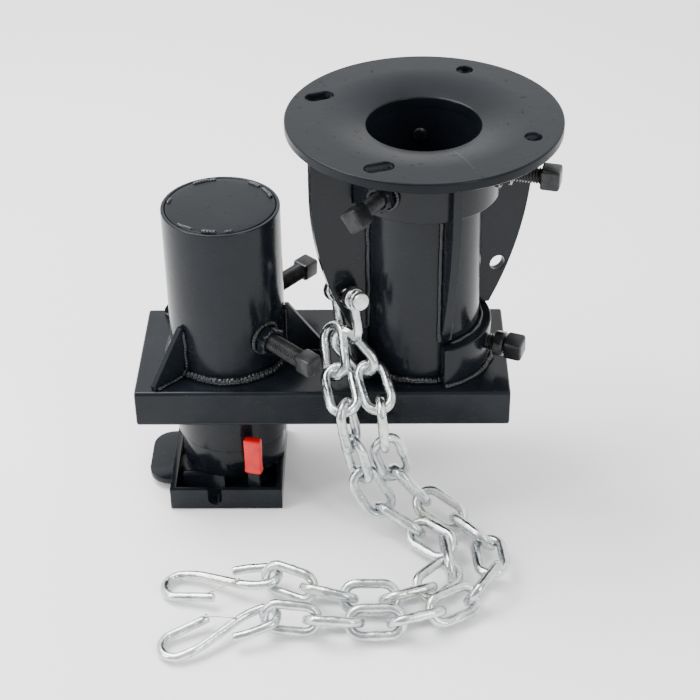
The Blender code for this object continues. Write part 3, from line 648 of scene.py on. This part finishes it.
def cut(obj, cutters):
    for cutter in cutters:
        modifier = obj.modifiers.new("cut", "BOOLEAN")
        modifier.operation = "DIFFERENCE"
        modifier.solver = "EXACT"
        modifier.object = cutter
    apply_modifiers(obj)
    for cutter in cutters:
        bpy.data.objects.remove(cutter)


def make_top_plate():
    edge, lip = 0.0018, 0.0014
    radii = [BORE_R + lip + (PLATE_LAND_R - BORE_R - lip) * k / 20 for k in range(21)]
    upper = [(r, dish(r)) for r in radii] + [(0.106, 0.0), (0.116, 0.0)]
    bore_top = dish(BORE_R)
    lip_arc = [(BORE_R + lip - lip * math.sin(a), bore_top - lip + lip * math.cos(a) + 0.0002)
               for a in QUARTER_TURN[1:]]
    rim = [(PLATE_R - edge + edge * math.sin(a), -edge + edge * math.cos(a)) for a in QUARTER_TURN]
    low_rim = [(PLATE_R - 0.0008, -PLATE_T), (PLATE_R, -PLATE_T + 0.0008)]
    outline = list(reversed(lip_arc)) + upper + rim + list(reversed(low_rim))
    outline += [(r, dish(r) - PLATE_T) for r in reversed(radii[::4])] + [(BORE_R, bore_top - PLATE_T)]
    plate = turned("top_plate_skin", outline, MAT["plate_black"], 192, sharp=30)
    cutters = []
    for k, slotted in enumerate((False, True, True, False)):
        centre = polar(BOLT_CIRCLE_R, TURN + math.radians(45 + 90 * k))
        half = BOLT_SLOT / 2 if slotted else 0.0
        place = Matrix.Translation(centre) @ Matrix.Rotation(TURN, 4, "Z")
        bm = bmesh.new()
        rings = []
        for z, extra in ((-0.03, 0.0), (-0.0008, 0.0), (-0.0003, 0.0003), (0.0, 0.0008),
                         (0.002, 0.0028)):
            radius = BOLT_HOLE_R + extra
            outline = arc((half, 0), radius, -math.pi / 2, math.pi / 2, 24)
            outline += arc((-half, 0), radius, math.pi / 2, 3 * math.pi / 2, 24)
            if not slotted:
                outline = arc((0, 0), radius, 0, math.tau, 48)[:-1]
            rings.append(ring_of(bm, place, outline, z))
        bridge(bm, rings)
        cutters.append(to_piece(f"hole_cutter_{k}", bm, MAT["plate_black"]))
    cut(plate, cutters)
    mesh = plate.data
    normals = []
    for polygon in mesh.polygons:
        flat_top = polygon.normal.z > 0.8 and polygon.center.z > -PLATE_DISH - 0.001
        for index in polygon.loop_indices:
            vertex = mesh.vertices[mesh.loops[index].vertex_index].co
            radius = math.hypot(vertex.x, vertex.y)
            if flat_top and BORE_R + lip - 1e-4 <= radius <= PLATE_R - edge + 1e-4:
                slope = dish_slope(radius)
                normal = Vector((-slope * vertex.x / radius, -slope * vertex.y / radius, 1))
                normals.append(normal.normalized())
            else:
                normals.append(Vector((0, 0, 0)))
    mesh.normals_split_custom_set(normals)
    stand_in(plate, "top_plate")


def make_plate_seam():
    """The ground-down weld of the plate's split: a hair-thin ridge from the bore to the bolt circle."""
    points = []
    for k in range(40):
        radius = BORE_R + 0.002 + (0.110 - BORE_R - 0.002) * k / 39
        drift = 0.0006 * noise.noise(Vector((radius * 140, 3.0, 0.0)))
        points.append(polar(radius, SEAM_ANGLE + drift / radius, dish(radius) - 0.00015))
    seam = swept("top_plate_seam", points, 0.00045, 8, MAT["weld"], normal=Vector((0, 0, 1)))
    ride(seam, "top_plate")


def make_collar():
    radii = [BORE_R + 0.0005, 0.060, 0.067, COLLAR_R]
    outline = [(r, dish(r) - PLATE_T - GAP) for r in radii]
    outline += arc((COLLAR_R - 0.0015, COLLAR_BOTTOM + 0.0015), 0.0015, 0, -math.pi / 2, 5)
    outline += arc((BORE_R + 0.002, COLLAR_BOTTOM + 0.0015), 0.0015, -math.pi / 2, -math.pi, 5)
    turned_skin("king_pin_collar", outline)


def make_king_tube():
    top, bottom, inner = COLLAR_BOTTOM - GAP, BEAM_TOP + GAP, TUBE_R - 0.0065
    turned_skin("king_pin_tube", [(inner, top), (TUBE_R, top), (TUBE_R, bottom), (inner, bottom)])
    upper, lower = COLLAR_BOTTOM - 0.0005, BEAM_TOP + 0.0020
    bead("weld_tube_to_collar", ring_points(TUBE_R + 0.0015, upper), 0.0030, 3, closed=True)
    bead("weld_tube_to_beam", ring_points(TUBE_R + 0.0018, lower), 0.0042, 4, 0.0038, True)


def plate_edge(outer, curve, steps=36):
    centre_r = outer - curve
    points = [(outer, -PLATE_T - GAP)]
    for k in range(steps + 1):
        z = CURVE_TOP + (FOOT_TOP + GAP - CURVE_TOP) * k / steps
        points.append((centre_r + math.sqrt(curve ** 2 - (CURVE_TOP - z) ** 2), z))
    return points


def make_wings_and_ribs():
    for name, angle, outer, curve in (("left_wing", TURN + math.pi, WING_R, WING_CURVE),
                                      ("right_wing", TURN, WING_R, WING_CURVE),
                                      ("front_rib", TURN - math.pi / 2, RIB_R, RIB_CURVE),
                                      ("back_rib", TURN + math.pi / 2, RIB_R, RIB_CURVE)):
        edge = plate_edge(outer, curve)
        if outer == RIB_R:
            edge[0] = (outer, dish(outer) - PLATE_T - GAP)
        inner = [(TUBE_R + GAP, FOOT_TOP + GAP), (TUBE_R + GAP, COLLAR_BOTTOM - GAP),
                 (COLLAR_R + GAP, COLLAR_BOTTOM - GAP), (COLLAR_R + GAP, dish(COLLAR_R) - PLATE_T - GAP)]
        under_plate = (0.080, 0.086, 0.092, 0.100) if outer == WING_R else ()
        under = [(r, dish(r) - PLATE_T - GAP) for r in under_plate]
        place = Matrix.Rotation(angle, 4, "Z") @ Matrix.Rotation(math.radians(90), 4, "X")
        plate = extruded(f"{name}_skin", edge + inner + under, RIB_T, place)
        if outer == WING_R:
            out, height, hole_r = CHAIN_HOLE
            hole = pointing(polar(out, angle, height), polar(1, angle - math.pi / 2))
            bm = bmesh.new()
            bmesh.ops.create_cone(bm, cap_ends=True, segments=48, radius1=hole_r, radius2=hole_r,
                                  depth=0.04, matrix=hole)
            cut(plate, [to_piece("wing_hole_cutter", bm, MAT["black_paint"])])
            for polygon in plate.data.polygons:
                polygon.use_smooth = True
        soften(plate, 0.0009, 3, 38)
        stand_in(plate, name)
        for sign, letter in SIDES_AB:
            offset = polar(RIB_T / 2 + 0.0012, angle + math.pi / 2 * sign)
            low, high = FOOT_TOP + 0.004, COLLAR_BOTTOM - 0.004
            run = [polar(TUBE_R + 0.0008, angle, z) + offset for z in (low, (low + high) / 2, high)]
            bead(f"weld_{name}_{letter}", run, 0.0024, 20 + int(angle * 10) + sign)


def make_feet():
    inner, bottom = TUBE_R + GAP, BEAM_TOP + GAP
    outline = rounded([(inner, FOOT_TOP), (FOOT_R, FOOT_TOP), (FOOT_R, bottom), (inner, bottom)],
                      0.0016, 4, skip=(2, 3))
    spread = math.asin(RIB_T / 2 / FOOT_R)
    for name, start in (("front_foot", TURN - math.pi / 2), ("back_foot", TURN + math.pi / 2)):
        end = start + math.pi / 2 + spread
        foot = turned(f"{name}_skin", outline, MAT["black_paint"], 56, start - spread, end, sharp=60)
        stand_in(soften(foot, 0.0008, 2, 60), name)
        base = ring_points(FOOT_R + 0.0012, BEAM_TOP + 0.0016, start - spread, end)
        bead(f"weld_{name}", base, 0.0030, 40 + len(name), 0.0036)
        top = ring_points(TUBE_R + 0.002, FOOT_TOP + 0.0008, start + 0.1, end - 0.15)
        bead(f"weld_{name}_top", top, 0.0022, 50 + len(name))


# ---- screws and nuts

def threaded(name, radius, z0, z1, material, place, pitch=0.0027, sides=32):
    """A rod with a real helical thread from z0 to z1."""
    depth = pitch * 0.48
    per_pitch = 8
    count = int((z1 - z0) / pitch * per_pitch)
    bm = bmesh.new()
    rings = []
    for k in range(count + 1):
        z = z0 + (z1 - z0) * k / count
        taper = min(1.0, (z - z0) / (pitch * 1.2))
        ring = []
        for s in range(sides):
            angle = math.tau * s / sides
            phase = (z / pitch - s / sides) % 1.0
            tooth = abs(phase - 0.5) * 2
            groove = min(1.0, max(0.0, (tooth - 0.12) / 0.76))
            r = radius - depth * groove - (1 - taper) * 0.0008
            ring.append(bm.verts.new(place @ polar(r, angle, z)))
        rings.append(ring)
    bridge(bm, rings)
    return to_piece(name, bm, material, 75)


def square_head(name, across, z0, z1, material, place):
    """Forged square head: flat sides, rounded corners and a chamfered, slightly domed end."""
    sections = [(z0, 0.90), (z0 + 0.0008, 0.97), (z0 + 0.0020, 1.0), (z1 - 0.0030, 1.0),
                (z1 - 0.0014, 0.965), (z1 - 0.0005, 0.87), (z1, 0.70)]
    square = rounded_rectangle(across, across, 0.0024, 5)
    bm = bmesh.new()
    bridge(bm, [ring_of(bm, place, [(x * scale, y * scale) for x, y in square], z)
                for z, scale in sections])
    return to_piece(name, bm, material, 32)


def joined(name, objects):
    """One object from several of one material."""
    bm = bmesh.new()
    material = objects[0].data.materials[0]
    for obj in objects:
        bm.from_mesh(obj.data)
        bpy.data.objects.remove(obj)
    return mesh_object(name, bm, material)


def radial(origin, degrees, spin=0.0):
    """A frame that points outwards from a column's axis, turned about its own by spin."""
    outwards = pointing(origin, polar(1, math.radians(degrees)))
    return outwards @ Matrix.Rotation(math.radians(spin), 4, "Z")


def make_screw(node, axis_point, degrees, thread_r, tip, neck, head_end, across, spin):
    place = radial(axis_point, degrees, spin)
    rod = threaded(f"{node}_rod", thread_r, tip, neck + 0.001, MAT["black_oxide"], place)
    head = square_head(f"{node}_head", across, neck, head_end, MAT["black_oxide"], place)
    stand_in(joined(f"{node}_skin", [rod, head]), node)


def make_nut(node, axis_point, degrees, across, thread_r, inner, outer, material, spin=0.0):
    place = radial(axis_point, degrees, spin)
    flat = across / 2
    corner = flat / math.cos(math.pi / 6)
    bore = thread_r + 0.0004
    sides = 72
    # height, outer limit of the hexagon and, on the inside, the bore's radius
    profile = ((inner, 1.0, bore), (inner, flat * 1.01, None), (inner + 0.0012, corner, None),
               (outer - 0.0018, corner, None), (outer, flat * 0.97, None), (outer, 0.0, bore + 0.0010),
               (outer - 0.0012, 0.0, bore))
    bm = bmesh.new()
    rings = []
    for z, limit, bore_here in profile:
        ring = []
        for s in range(sides):
            angle = math.tau * s / sides
            turn = (angle + math.pi / 6) % (math.pi / 3) - math.pi / 6
            radius = bore_here if bore_here else min(flat / math.cos(turn), limit)
            ring.append(bm.verts.new(place @ polar(radius, angle, z)))
        rings.append(ring)
    bridge(bm, rings, True)
    stand_in(to_piece(f"{node}_skin", bm, material, 28), node)


def make_screws():
    collar = Vector((0, 0, COLLAR_SCREW_Z))
    for k, (degrees, spin) in enumerate(COLLAR_SCREWS):
        make_nut(f"collar_nut_{k + 1}", collar, degrees, NUT_FLATS, COLLAR_THREAD_R, COLLAR_R + GAP,
                 COLLAR_R + 0.012, MAT["black_paint"], 15 * k)
        make_screw(f"collar_screw_{k + 1}", collar, degrees, COLLAR_THREAD_R, 0.050, 0.112, 0.130,
                   COLLAR_HEAD_FLATS, spin)
        nut_weld(f"weld_collar_nut_{k + 1}", collar, degrees, 0.0142, COLLAR_R + 0.0006, 0.0020, 60 + k)
    foot = Vector((0, 0, FOOT_BOLT_Z))
    make_screw("foot_bolt", foot, FOOT_BOLT_DEGREES, FOOT_THREAD_R, 0.049, 0.0895, 0.107,
               COLLAR_HEAD_FLATS, 8)
    make_nut("jam_nut", foot, FOOT_BOLT_DEGREES, NUT_FLATS, FOOT_THREAD_R, 0.0785, 0.088,
             MAT["black_oxide"])
    column = Vector((-COLUMN_SPACING, 0, HEIGHT_SCREW_Z))
    for name, degrees in HEIGHT_SCREWS:
        make_nut(f"{name}_height_nut", column, degrees, HEIGHT_NUT_FLATS, COLUMN_THREAD_R, TUBE_R + GAP,
                 TUBE_R + 0.012, MAT["black_paint"])
        make_screw(f"{name}_height_screw", column, degrees, COLUMN_THREAD_R, INNER_R + GAP, 0.108, 0.127,
                   HEIGHT_HEAD_FLATS, 4)
        nut_weld(f"weld_{name}_height_nut", column, degrees, 0.0155, TUBE_R - 0.0006, 0.0024,
                 70 + degrees)


# ---- beam and gooseneck column

def make_beam():
    """The channel box with its end caps welded in and ground flush: one painted skin."""
    middle = Vector(((BEAM_X0 + BEAM_X1) / 2, 0, BEAM_TOP - BEAM_H / 2))
    place = pointing(middle, Vector((1, 0, 0)))
    section = rounded_rectangle(BEAM_D, BEAM_H, BEAM_CORNER, 6)
    half, edge = (BEAM_X1 - BEAM_X0) / 2, 0.0022
    end = [(-half + edge * (1 - math.cos(a)), edge * (1 - math.sin(a))) for a in QUARTER_TURN]
    bm = bmesh.new()
    rings = []
    for z, inset in end + [(-z, inset) for z, inset in reversed(end)]:
        grow_x, grow_y = 1 - 2 * inset / BEAM_D, 1 - 2 * inset / BEAM_H
        rings.append(ring_of(bm, place, [(x * grow_x, y * grow_y) for x, y in section], z))
    bridge(bm, rings)
    beam = to_piece("beam_skin", bm, MAT["black_paint"], 40)
    flatten_normals(beam)
    ride(beam, "beam_tube", SLOT_OF["beam_tube"], "beam_tube", "beam_cap_left", "beam_cap_right")


def make_sleeve():
    inner = TUBE_R - SLEEVE_WALL
    centre_x = -COLUMN_SPACING
    outline = rounded([(inner, SLEEVE_TOP), (TUBE_R, SLEEVE_TOP), (TUBE_R, SLEEVE_BOTTOM),
                       (inner, SLEEVE_BOTTOM)], 0.0011, 4)
    turned_skin("coupler_sleeve", outline, segments=160, sharp=50, centre_x=centre_x)
    above = ring_points(TUBE_R + 0.0022, BEAM_TOP + 0.0024, centre_x=centre_x)
    bead("weld_sleeve_to_beam", above, 0.0050, 7, 0.0042, True)
    below = ring_points(TUBE_R + 0.0018, BEAM_TOP - BEAM_H - 0.0022, centre_x=centre_x)
    bead("weld_sleeve_under_beam", below, 0.0038, 8, 0.0042, True)
    for name, degrees in GUSSETS:
        make_gusset(name, degrees, Vector((centre_x, 0, 0)))


def make_gusset(name, degrees, centre):
    root, base = TUBE_R + GAP, BEAM_TOP + GAP
    outline = [(root, base), (root + GUSSET_LEG, base), (root + GUSSET_LEG, base + 0.005),
               (root + 0.004, base + GUSSET_HEIGHT), (root, base + GUSSET_HEIGHT)]
    turn = math.radians(degrees)
    place = (Matrix.Translation(centre) @ Matrix.Rotation(turn, 4, "Z")
             @ Matrix.Rotation(math.radians(90), 4, "X"))
    stand_in(soften(extruded(f"{name}_skin", outline, GUSSET_T, place), 0.0007), name)
    upright = ((root + 0.001, base + GUSSET_HEIGHT - 0.004), (root + 0.001, base + 0.0045))
    level = ((root + 0.004, base + 0.0010), (root + GUSSET_LEG - 0.003, base + 0.0010))
    for sign, letter in SIDES_AB:
        offset = centre + polar(GUSSET_T / 2 + 0.0010, turn + math.pi / 2 * sign)
        for way, ends, seed in (("up", upright, 80), ("along", level, 90)):
            run = [polar(r, turn, z) + offset for r, z in ends]
            bead(f"weld_{name}_{way}_{letter}", run, 0.0021, seed + degrees + sign)


def make_inner_column():
    centre_x = -COLUMN_SPACING
    cap_top = SLEEVE_TOP + 0.0008
    tube_top = cap_top - CAP_T - GAP
    bore, tube_bottom = INNER_R - 0.006, SLEEVE_BOTTOM + 0.003 + GAP
    outline = [(bore, tube_top), (INNER_R, tube_top), (INNER_R, tube_bottom), (bore, tube_bottom)]
    turned_skin("inner_tube", outline, centre_x=centre_x)
    crown = [(0, cap_top), (INNER_R * 0.3, cap_top - 0.00004), (INNER_R * 0.6, cap_top - 0.00015),
             (INNER_R * 0.85, cap_top - 0.0004)]
    crown += arc((INNER_R - 0.0014, cap_top - 0.0021), 0.0014, math.pi / 2, 0, 5)
    crown += [(INNER_R, cap_top - CAP_T), (0, cap_top - CAP_T)]
    turned_skin("inner_tube_cap", crown, "plate_black", centre_x=centre_x)
    refined("ball_socket", MAT["black_paint"], 0.0008)
    rim, top = INNER_R - 0.0029, cap_top - 0.0009
    for k, (degrees, spread, radius) in enumerate(CAP_TACKS):
        start, end = math.radians(degrees - spread), math.radians(degrees + spread)
        run = ring_points(rim, top, start, end, centre_x, 12)
        bead(f"cap_tack_{k + 1}", run, radius, 110 + k, 0.0030, body="inner_column")


def make_coupler():
    refined("coupler_tray", MAT["black_paint"], 0.0008)
    refined("latch_plate", MAT["black_paint"], 0.0006)
    refined("spring_rod", MAT["spring_steel"], 0.0004)
    make_grip()
    make_spring()


def make_grip():
    """Dipped vinyl grip: soft rectangular section, thicker lip at the bottom, rounded top."""
    low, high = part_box("latch_grip")
    centre = (low + high) / 2
    twist = math.radians(-14)
    # height and half widths
    sections = [(0.0, 0.0080, 0.0044), (0.0007, 0.0088, 0.0051), (0.0026, 0.0091, 0.0053),
                (0.004, 0.0087, 0.0050), (0.01, 0.0086, 0.0049), (0.024, 0.0087, 0.0049),
                (0.035, 0.0088, 0.0050), (0.0385, 0.0087, 0.0050), (0.0398, 0.0082, 0.0046),
                (0.0405, 0.0072, 0.0038), (0.0408, 0.0050, 0.0024)]
    squareness = 0.38
    bm = bmesh.new()
    rings = []
    for height, half_x, half_y in sections:
        ring = []
        for k in range(48):
            angle = math.tau * k / 48
            c, s = math.cos(angle), math.sin(angle)
            x = half_x * math.copysign(abs(c) ** squareness, c)
            y = half_y * math.copysign(abs(s) ** squareness, s)
            ring.append(bm.verts.new(Matrix.Rotation(twist, 3, "Z") @ Vector((x, y, 0))
                                     + Vector((centre.x, centre.y, low.z + height))))
        rings.append(ring)
    bridge(bm, rings)
    stand_in(to_piece("latch_grip_skin", bm, MAT["red_grip"], 60), "latch_grip")


def make_spring():
    low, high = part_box("latch_spring")
    coil_r = (high.z - low.z) / 2 - SPRING_WIRE_R
    centre = (low + high) / 2
    start, end = low.x + SPRING_WIRE_R, high.x - SPRING_WIRE_R
    per_coil = 24
    steps = SPRING_COILS * per_coil
    points = []
    for k in range(steps + 1):
        angle = math.tau * k / per_coil
        points.append((start + (end - start) * k / steps, centre.y + coil_r * math.cos(angle),
                       centre.z + coil_r * math.sin(angle)))
    spring = stand_in(swept("latch_spring_skin", points, SPRING_WIRE_R, 8, MAT["spring_steel"]),
                      "latch_spring")
    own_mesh(spring)


# ---- shackle

PIN_CENTRE = polar(CHAIN_HOLE[0] + 0.0008, TURN + math.pi, CHAIN_HOLE[1])
PIN_AXIS = Vector((0.541, -0.811, 0.225)).normalized()
BOW_DEPTH, BOW_HALF, BOW_WIRE = 0.031, 0.0170, 0.0052


def shackle_down():
    down = Vector((0, 0, -1))
    return (down - PIN_AXIS * down.dot(PIN_AXIS)).normalized()


def make_shackle():
    down = shackle_down()
    points = [PIN_CENTRE + PIN_AXIS * BOW_HALF + down * (BOW_DEPTH * k / 8) for k in range(2, 9)]
    for k in range(1, 32):
        angle = math.pi * k / 32
        drop = BOW_DEPTH + BOW_HALF * math.sin(angle)
        points.append(PIN_CENTRE + PIN_AXIS * BOW_HALF * math.cos(angle) + down * drop)
    points += [PIN_CENTRE - PIN_AXIS * BOW_HALF + down * (BOW_DEPTH * k / 8) for k in range(8, 1, -1)]
    pieces = [swept("bow", points, BOW_WIRE, 20, MAT["zinc"], round_ends=False)]
    for side in (-1, 1):
        place = pointing(PIN_CENTRE + PIN_AXIS * BOW_HALF * side, PIN_AXIS)
        half = BOW_WIRE - 0.0004
        outline = rounded([(0.0053, half), (0.0115, half), (0.0115, -half), (0.0053, -half)],
                          0.0026, 5, skip=(0, 3))
        bm = turned_mesh(outline, 48)
        bmesh.ops.transform(bm, matrix=place, verts=bm.verts)
        pieces.append(to_piece("eye", bm, MAT["zinc"], 50))
    stand_in(joined("shackle_skin", pieces), "shackle")
    # pin: a plain tail with no thread drawn, a hexagonal collar and a round head
    place = pointing(PIN_CENTRE, PIN_AXIS)
    outline = [(0, -0.0250), (0.0042, -0.0250), (0.0050, -0.0243), (0.0050, 0.0224)]
    outline += [(0.0098, 0.0224), (0.0100, 0.0227), (0.0100, 0.0259), (0.0094, 0.0262), (0.0088, 0.0264),
                (0.0088, 0.0306), (0.0085, 0.0313), (0.0078, 0.0317), (0.0070, 0.0318), (0, 0.0317)]
    bm = turned_mesh(outline, 60)
    for vert in bm.verts:
        if 0.0222 < vert.co.z < 0.0261 and vert.co.xy.length > 0.0095:
            angle = math.atan2(vert.co.y, vert.co.x)
            turn = (angle + math.pi / 6) % (math.pi / 3) - math.pi / 6
            radius = min(0.0092 / math.cos(turn), vert.co.xy.length)
            vert.co.x, vert.co.y = radius * math.cos(angle), radius * math.sin(angle)
    bmesh.ops.transform(bm, matrix=place, verts=bm.verts)
    stand_in(to_piece("shackle_pin_skin", bm, MAT["zinc"], 32), "shackle_pin")


# ---- chains and hooks

def link_points(steps=14, straight=6):
    """Centre line of a link; the straight sides are cut fine enough to carry a weld bulge."""
    radius = LINK_WIDTH / 2 - LINK_WIRE
    half = LINK_LENGTH / 2 - LINK_WIRE - radius
    outline = arc((half, 0), radius, -math.pi / 2, math.pi / 2, steps)
    outline += [(half - 2 * half * k / straight, radius) for k in range(1, straight)]
    outline += arc((-half, 0), radius, math.pi / 2, 3 * math.pi / 2, steps)
    outline += [(-half + 2 * half * k / straight, -radius) for k in range(1, straight)]
    return [Vector((x, y, 0)) for x, y in outline]


def spline(points, per_span=16):
    path = [Vector(p) for p in points]
    path = [2 * path[0] - path[1]] + path + [2 * path[-1] - path[-2]]
    curve = []
    for a, b, c, d in zip(path, path[1:], path[2:], path[3:]):
        for k in range(per_span):
            t = k / per_span
            curve.append(0.5 * (2 * b + (c - a) * t + (2 * a - 5 * b + 4 * c - d) * t * t
                                + (3 * b - a - 3 * c + d) * t ** 3))
    curve.append(path[-2])
    return curve


def stations(route, pitches):
    curve = spline(route)
    found = [curve[0]]
    k = 1
    for pitch in pitches:
        while k < len(curve) and (curve[k] - found[-1]).length < pitch:
            k += 1
        if k == len(curve):
            heading = (curve[-1] - curve[-2]).normalized()
            found.append(found[-1] + heading * pitch)
            continue
        low, high = 0.0, 1.0
        for _ in range(30):
            middle = (low + high) / 2
            if (curve[k - 1].lerp(curve[k], middle) - found[-1]).length < pitch:
                low = middle
            else:
                high = middle
        found.append(curve[k - 1].lerp(curve[k], low))
    return found


VIEW_SIDE = Vector((0, -1, 1)).normalized()
RIGHT_ROUTE = [(-0.079, -0.0380, -0.2190), (-0.053, -0.0570, -0.2415), (-0.041, -0.0920, -0.2600),
               (-0.037, -0.0990, -0.3030), (-0.024, -0.0950, -0.3430), (0.003, -0.0980, -0.3760),
               (0.037, -0.1150, -0.3905), (0.064, -0.1470, -0.3908), (0.067, -0.1850, -0.3900),
               (0.047, -0.2200, -0.3908), (0.01, -0.2430, -0.3911), (-0.032, -0.2560, -0.3911),
               (-0.09, -0.2555, -0.3908), (-0.115, -0.2540, -0.3885), (-0.17, -0.2500, -0.3852)]
LEFT_ROUTE = [(-0.087, -0.0310, -0.2170), (-0.083, -0.0600, -0.2430), (-0.0755, -0.0970, -0.2580),
              (-0.068, -0.1000, -0.3030), (-0.059, -0.1000, -0.3430), (-0.039, -0.1090, -0.3770),
              (-0.006, -0.1270, -0.3908), (0.021, -0.1500, -0.3908), (0.025, -0.1880, -0.3908),
              (-0.002, -0.2130, -0.3908), (-0.04, -0.2240, -0.3911), (-0.079, -0.2210, -0.3911),
              (-0.118, -0.2090, -0.3885), (-0.17, -0.1860, -0.3848)]
RIGHT_PITCH = [TAUT] * 10 + [0.0380] + [LINK_PITCH] * 3
LEFT_PITCH = [TAUT] * 6 + [0.035] * 4 + [LINK_PITCH] * 3


def link_frames(joints, twist):
    frames = []
    for k, (start, end) in enumerate(zip(joints, joints[1:])):
        along = (end - start).normalized()
        facing = (VIEW_SIDE - along * VIEW_SIDE.dot(along)).normalized()
        roll = math.pi / 4 if k == 0 else math.pi / 2 * (k + 1) + twist * min(k - 1, 3) / 3
        normal = Matrix.Rotation(roll, 3, along) @ facing
        if k == len(joints) - 2:
            normal.z *= 0.35
            normal = (normal - along * normal.dot(along)).normalized()
        side = normal.cross(along)
        rotation = Matrix((along, side, normal)).transposed().to_4x4()
        frames.append(Matrix.Translation((start + end) / 2) @ rotation)
    return frames


def make_link(name, matrix, wire, seed):
    """A bent and butt-welded link: the weld swells the middle of one long side."""
    rng = random.Random(seed)
    points = link_points()
    side = 1 if rng.random() < 0.5 else -1
    radii = []
    for p in points:
        swell = math.exp(-(p.x / 0.0022) ** 2) * 0.10 if p.y * side > 0 else 0.0
        radii.append(wire * (1.0 + swell))
    link = swept(name, points, wire, 18, MAT["zinc"], closed=True, normal=Vector((0, 0, 1)), radii=radii)
    link.data.transform(matrix)
    return link


def make_chain(side, route, pitches, twist, fixed):
    joints = stations(route, pitches)
    pieces = []
    for k, matrix in enumerate(link_frames(joints, twist)):
        name = f"{side}_link_{k + 1:02d}"
        link = make_link(f"{name}_skin", matrix, 0.0048 if k < fixed else LINK_WIRE, 100 * len(side) + k)
        if k < fixed:
            pieces.append(link)
            ride(link, "upper_chains", "zinc")
        else:
            stand_in(link, name)
    return joints, pieces


def hook_points():
    eye_r, bend_r = 0.0122, 0.0150
    points = [(-0.033, 0.0105), (-0.020, 0.0124), (-0.008, 0.0124)]
    points += arc((0, 0), eye_r, math.radians(80), math.radians(-90), 7)
    points += [(-0.018, -0.0105), (-0.043, -0.0010), (-0.067, 0.0080)]
    points += arc((-0.084, -0.0050), bend_r, math.radians(95), math.radians(265), 8)
    points += [(-0.067, -0.0220), (-0.049, -0.0245)]
    return points


def make_hook(side, joints, heading, mirrored):
    along = (joints[-1] - joints[-2]).normalized()
    eye = joints[-1] + along * (LINK_LENGTH / 2 - LINK_WIRE - LINK_PITCH / 2)
    eye.z = joints[-1].z - 0.0025
    droop = math.atan2(eye.z - FLOOR - HOOK_WIRE - 0.0005, 0.095)
    place = Matrix.Translation(eye) @ Matrix.Rotation(heading, 4, "Z") @ Matrix.Rotation(-droop, 4, "Y")
    flip = -1 if mirrored else 1
    points = spline([(x, flip * y, 0) for x, y in hook_points()], 5)
    hook = swept(f"{side}_hook_skin", points, HOOK_WIRE, 20, MAT["zinc"], normal=Vector((0, 0, 1)))
    hook.data.transform(place)
    stand_in(hook, f"{side}_hook")
    wire = 0.0009
    above = HOOK_WIRE + wire + GAP
    gate = [(-0.024, -0.0070), (-0.032, -0.0120), (-0.044, -0.0190), (-0.053, -0.0235)]
    path = spline([(x, flip * y, above) for x, y in gate], 8)
    keeper = swept(f"{side}_hook_latch_skin", path, wire, 10, MAT["spring_steel"])
    keeper.data.transform(place)
    stand_in(keeper, f"{side}_hook_latch")


def make_chains():
    joints, upper = make_chain("right", RIGHT_ROUTE, RIGHT_PITCH, 0.0, 10)
    make_hook("right", joints, math.radians(20), True)
    joints, _ = make_chain("left", LEFT_ROUTE, LEFT_PITCH, math.pi / 2, 9)
    make_hook("left", joints, math.radians(-3), False)
    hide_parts("upper_chains")


# ---- build

make_camera()
make_world()
make_stage()
for light in LIGHTS:
    area_light(*light)

make_top_plate()
make_plate_seam()
make_collar()
make_king_tube()
make_wings_and_ribs()
make_feet()
make_screws()
make_beam()
make_sleeve()
make_inner_column()
make_coupler()
make_shackle()
make_chains()
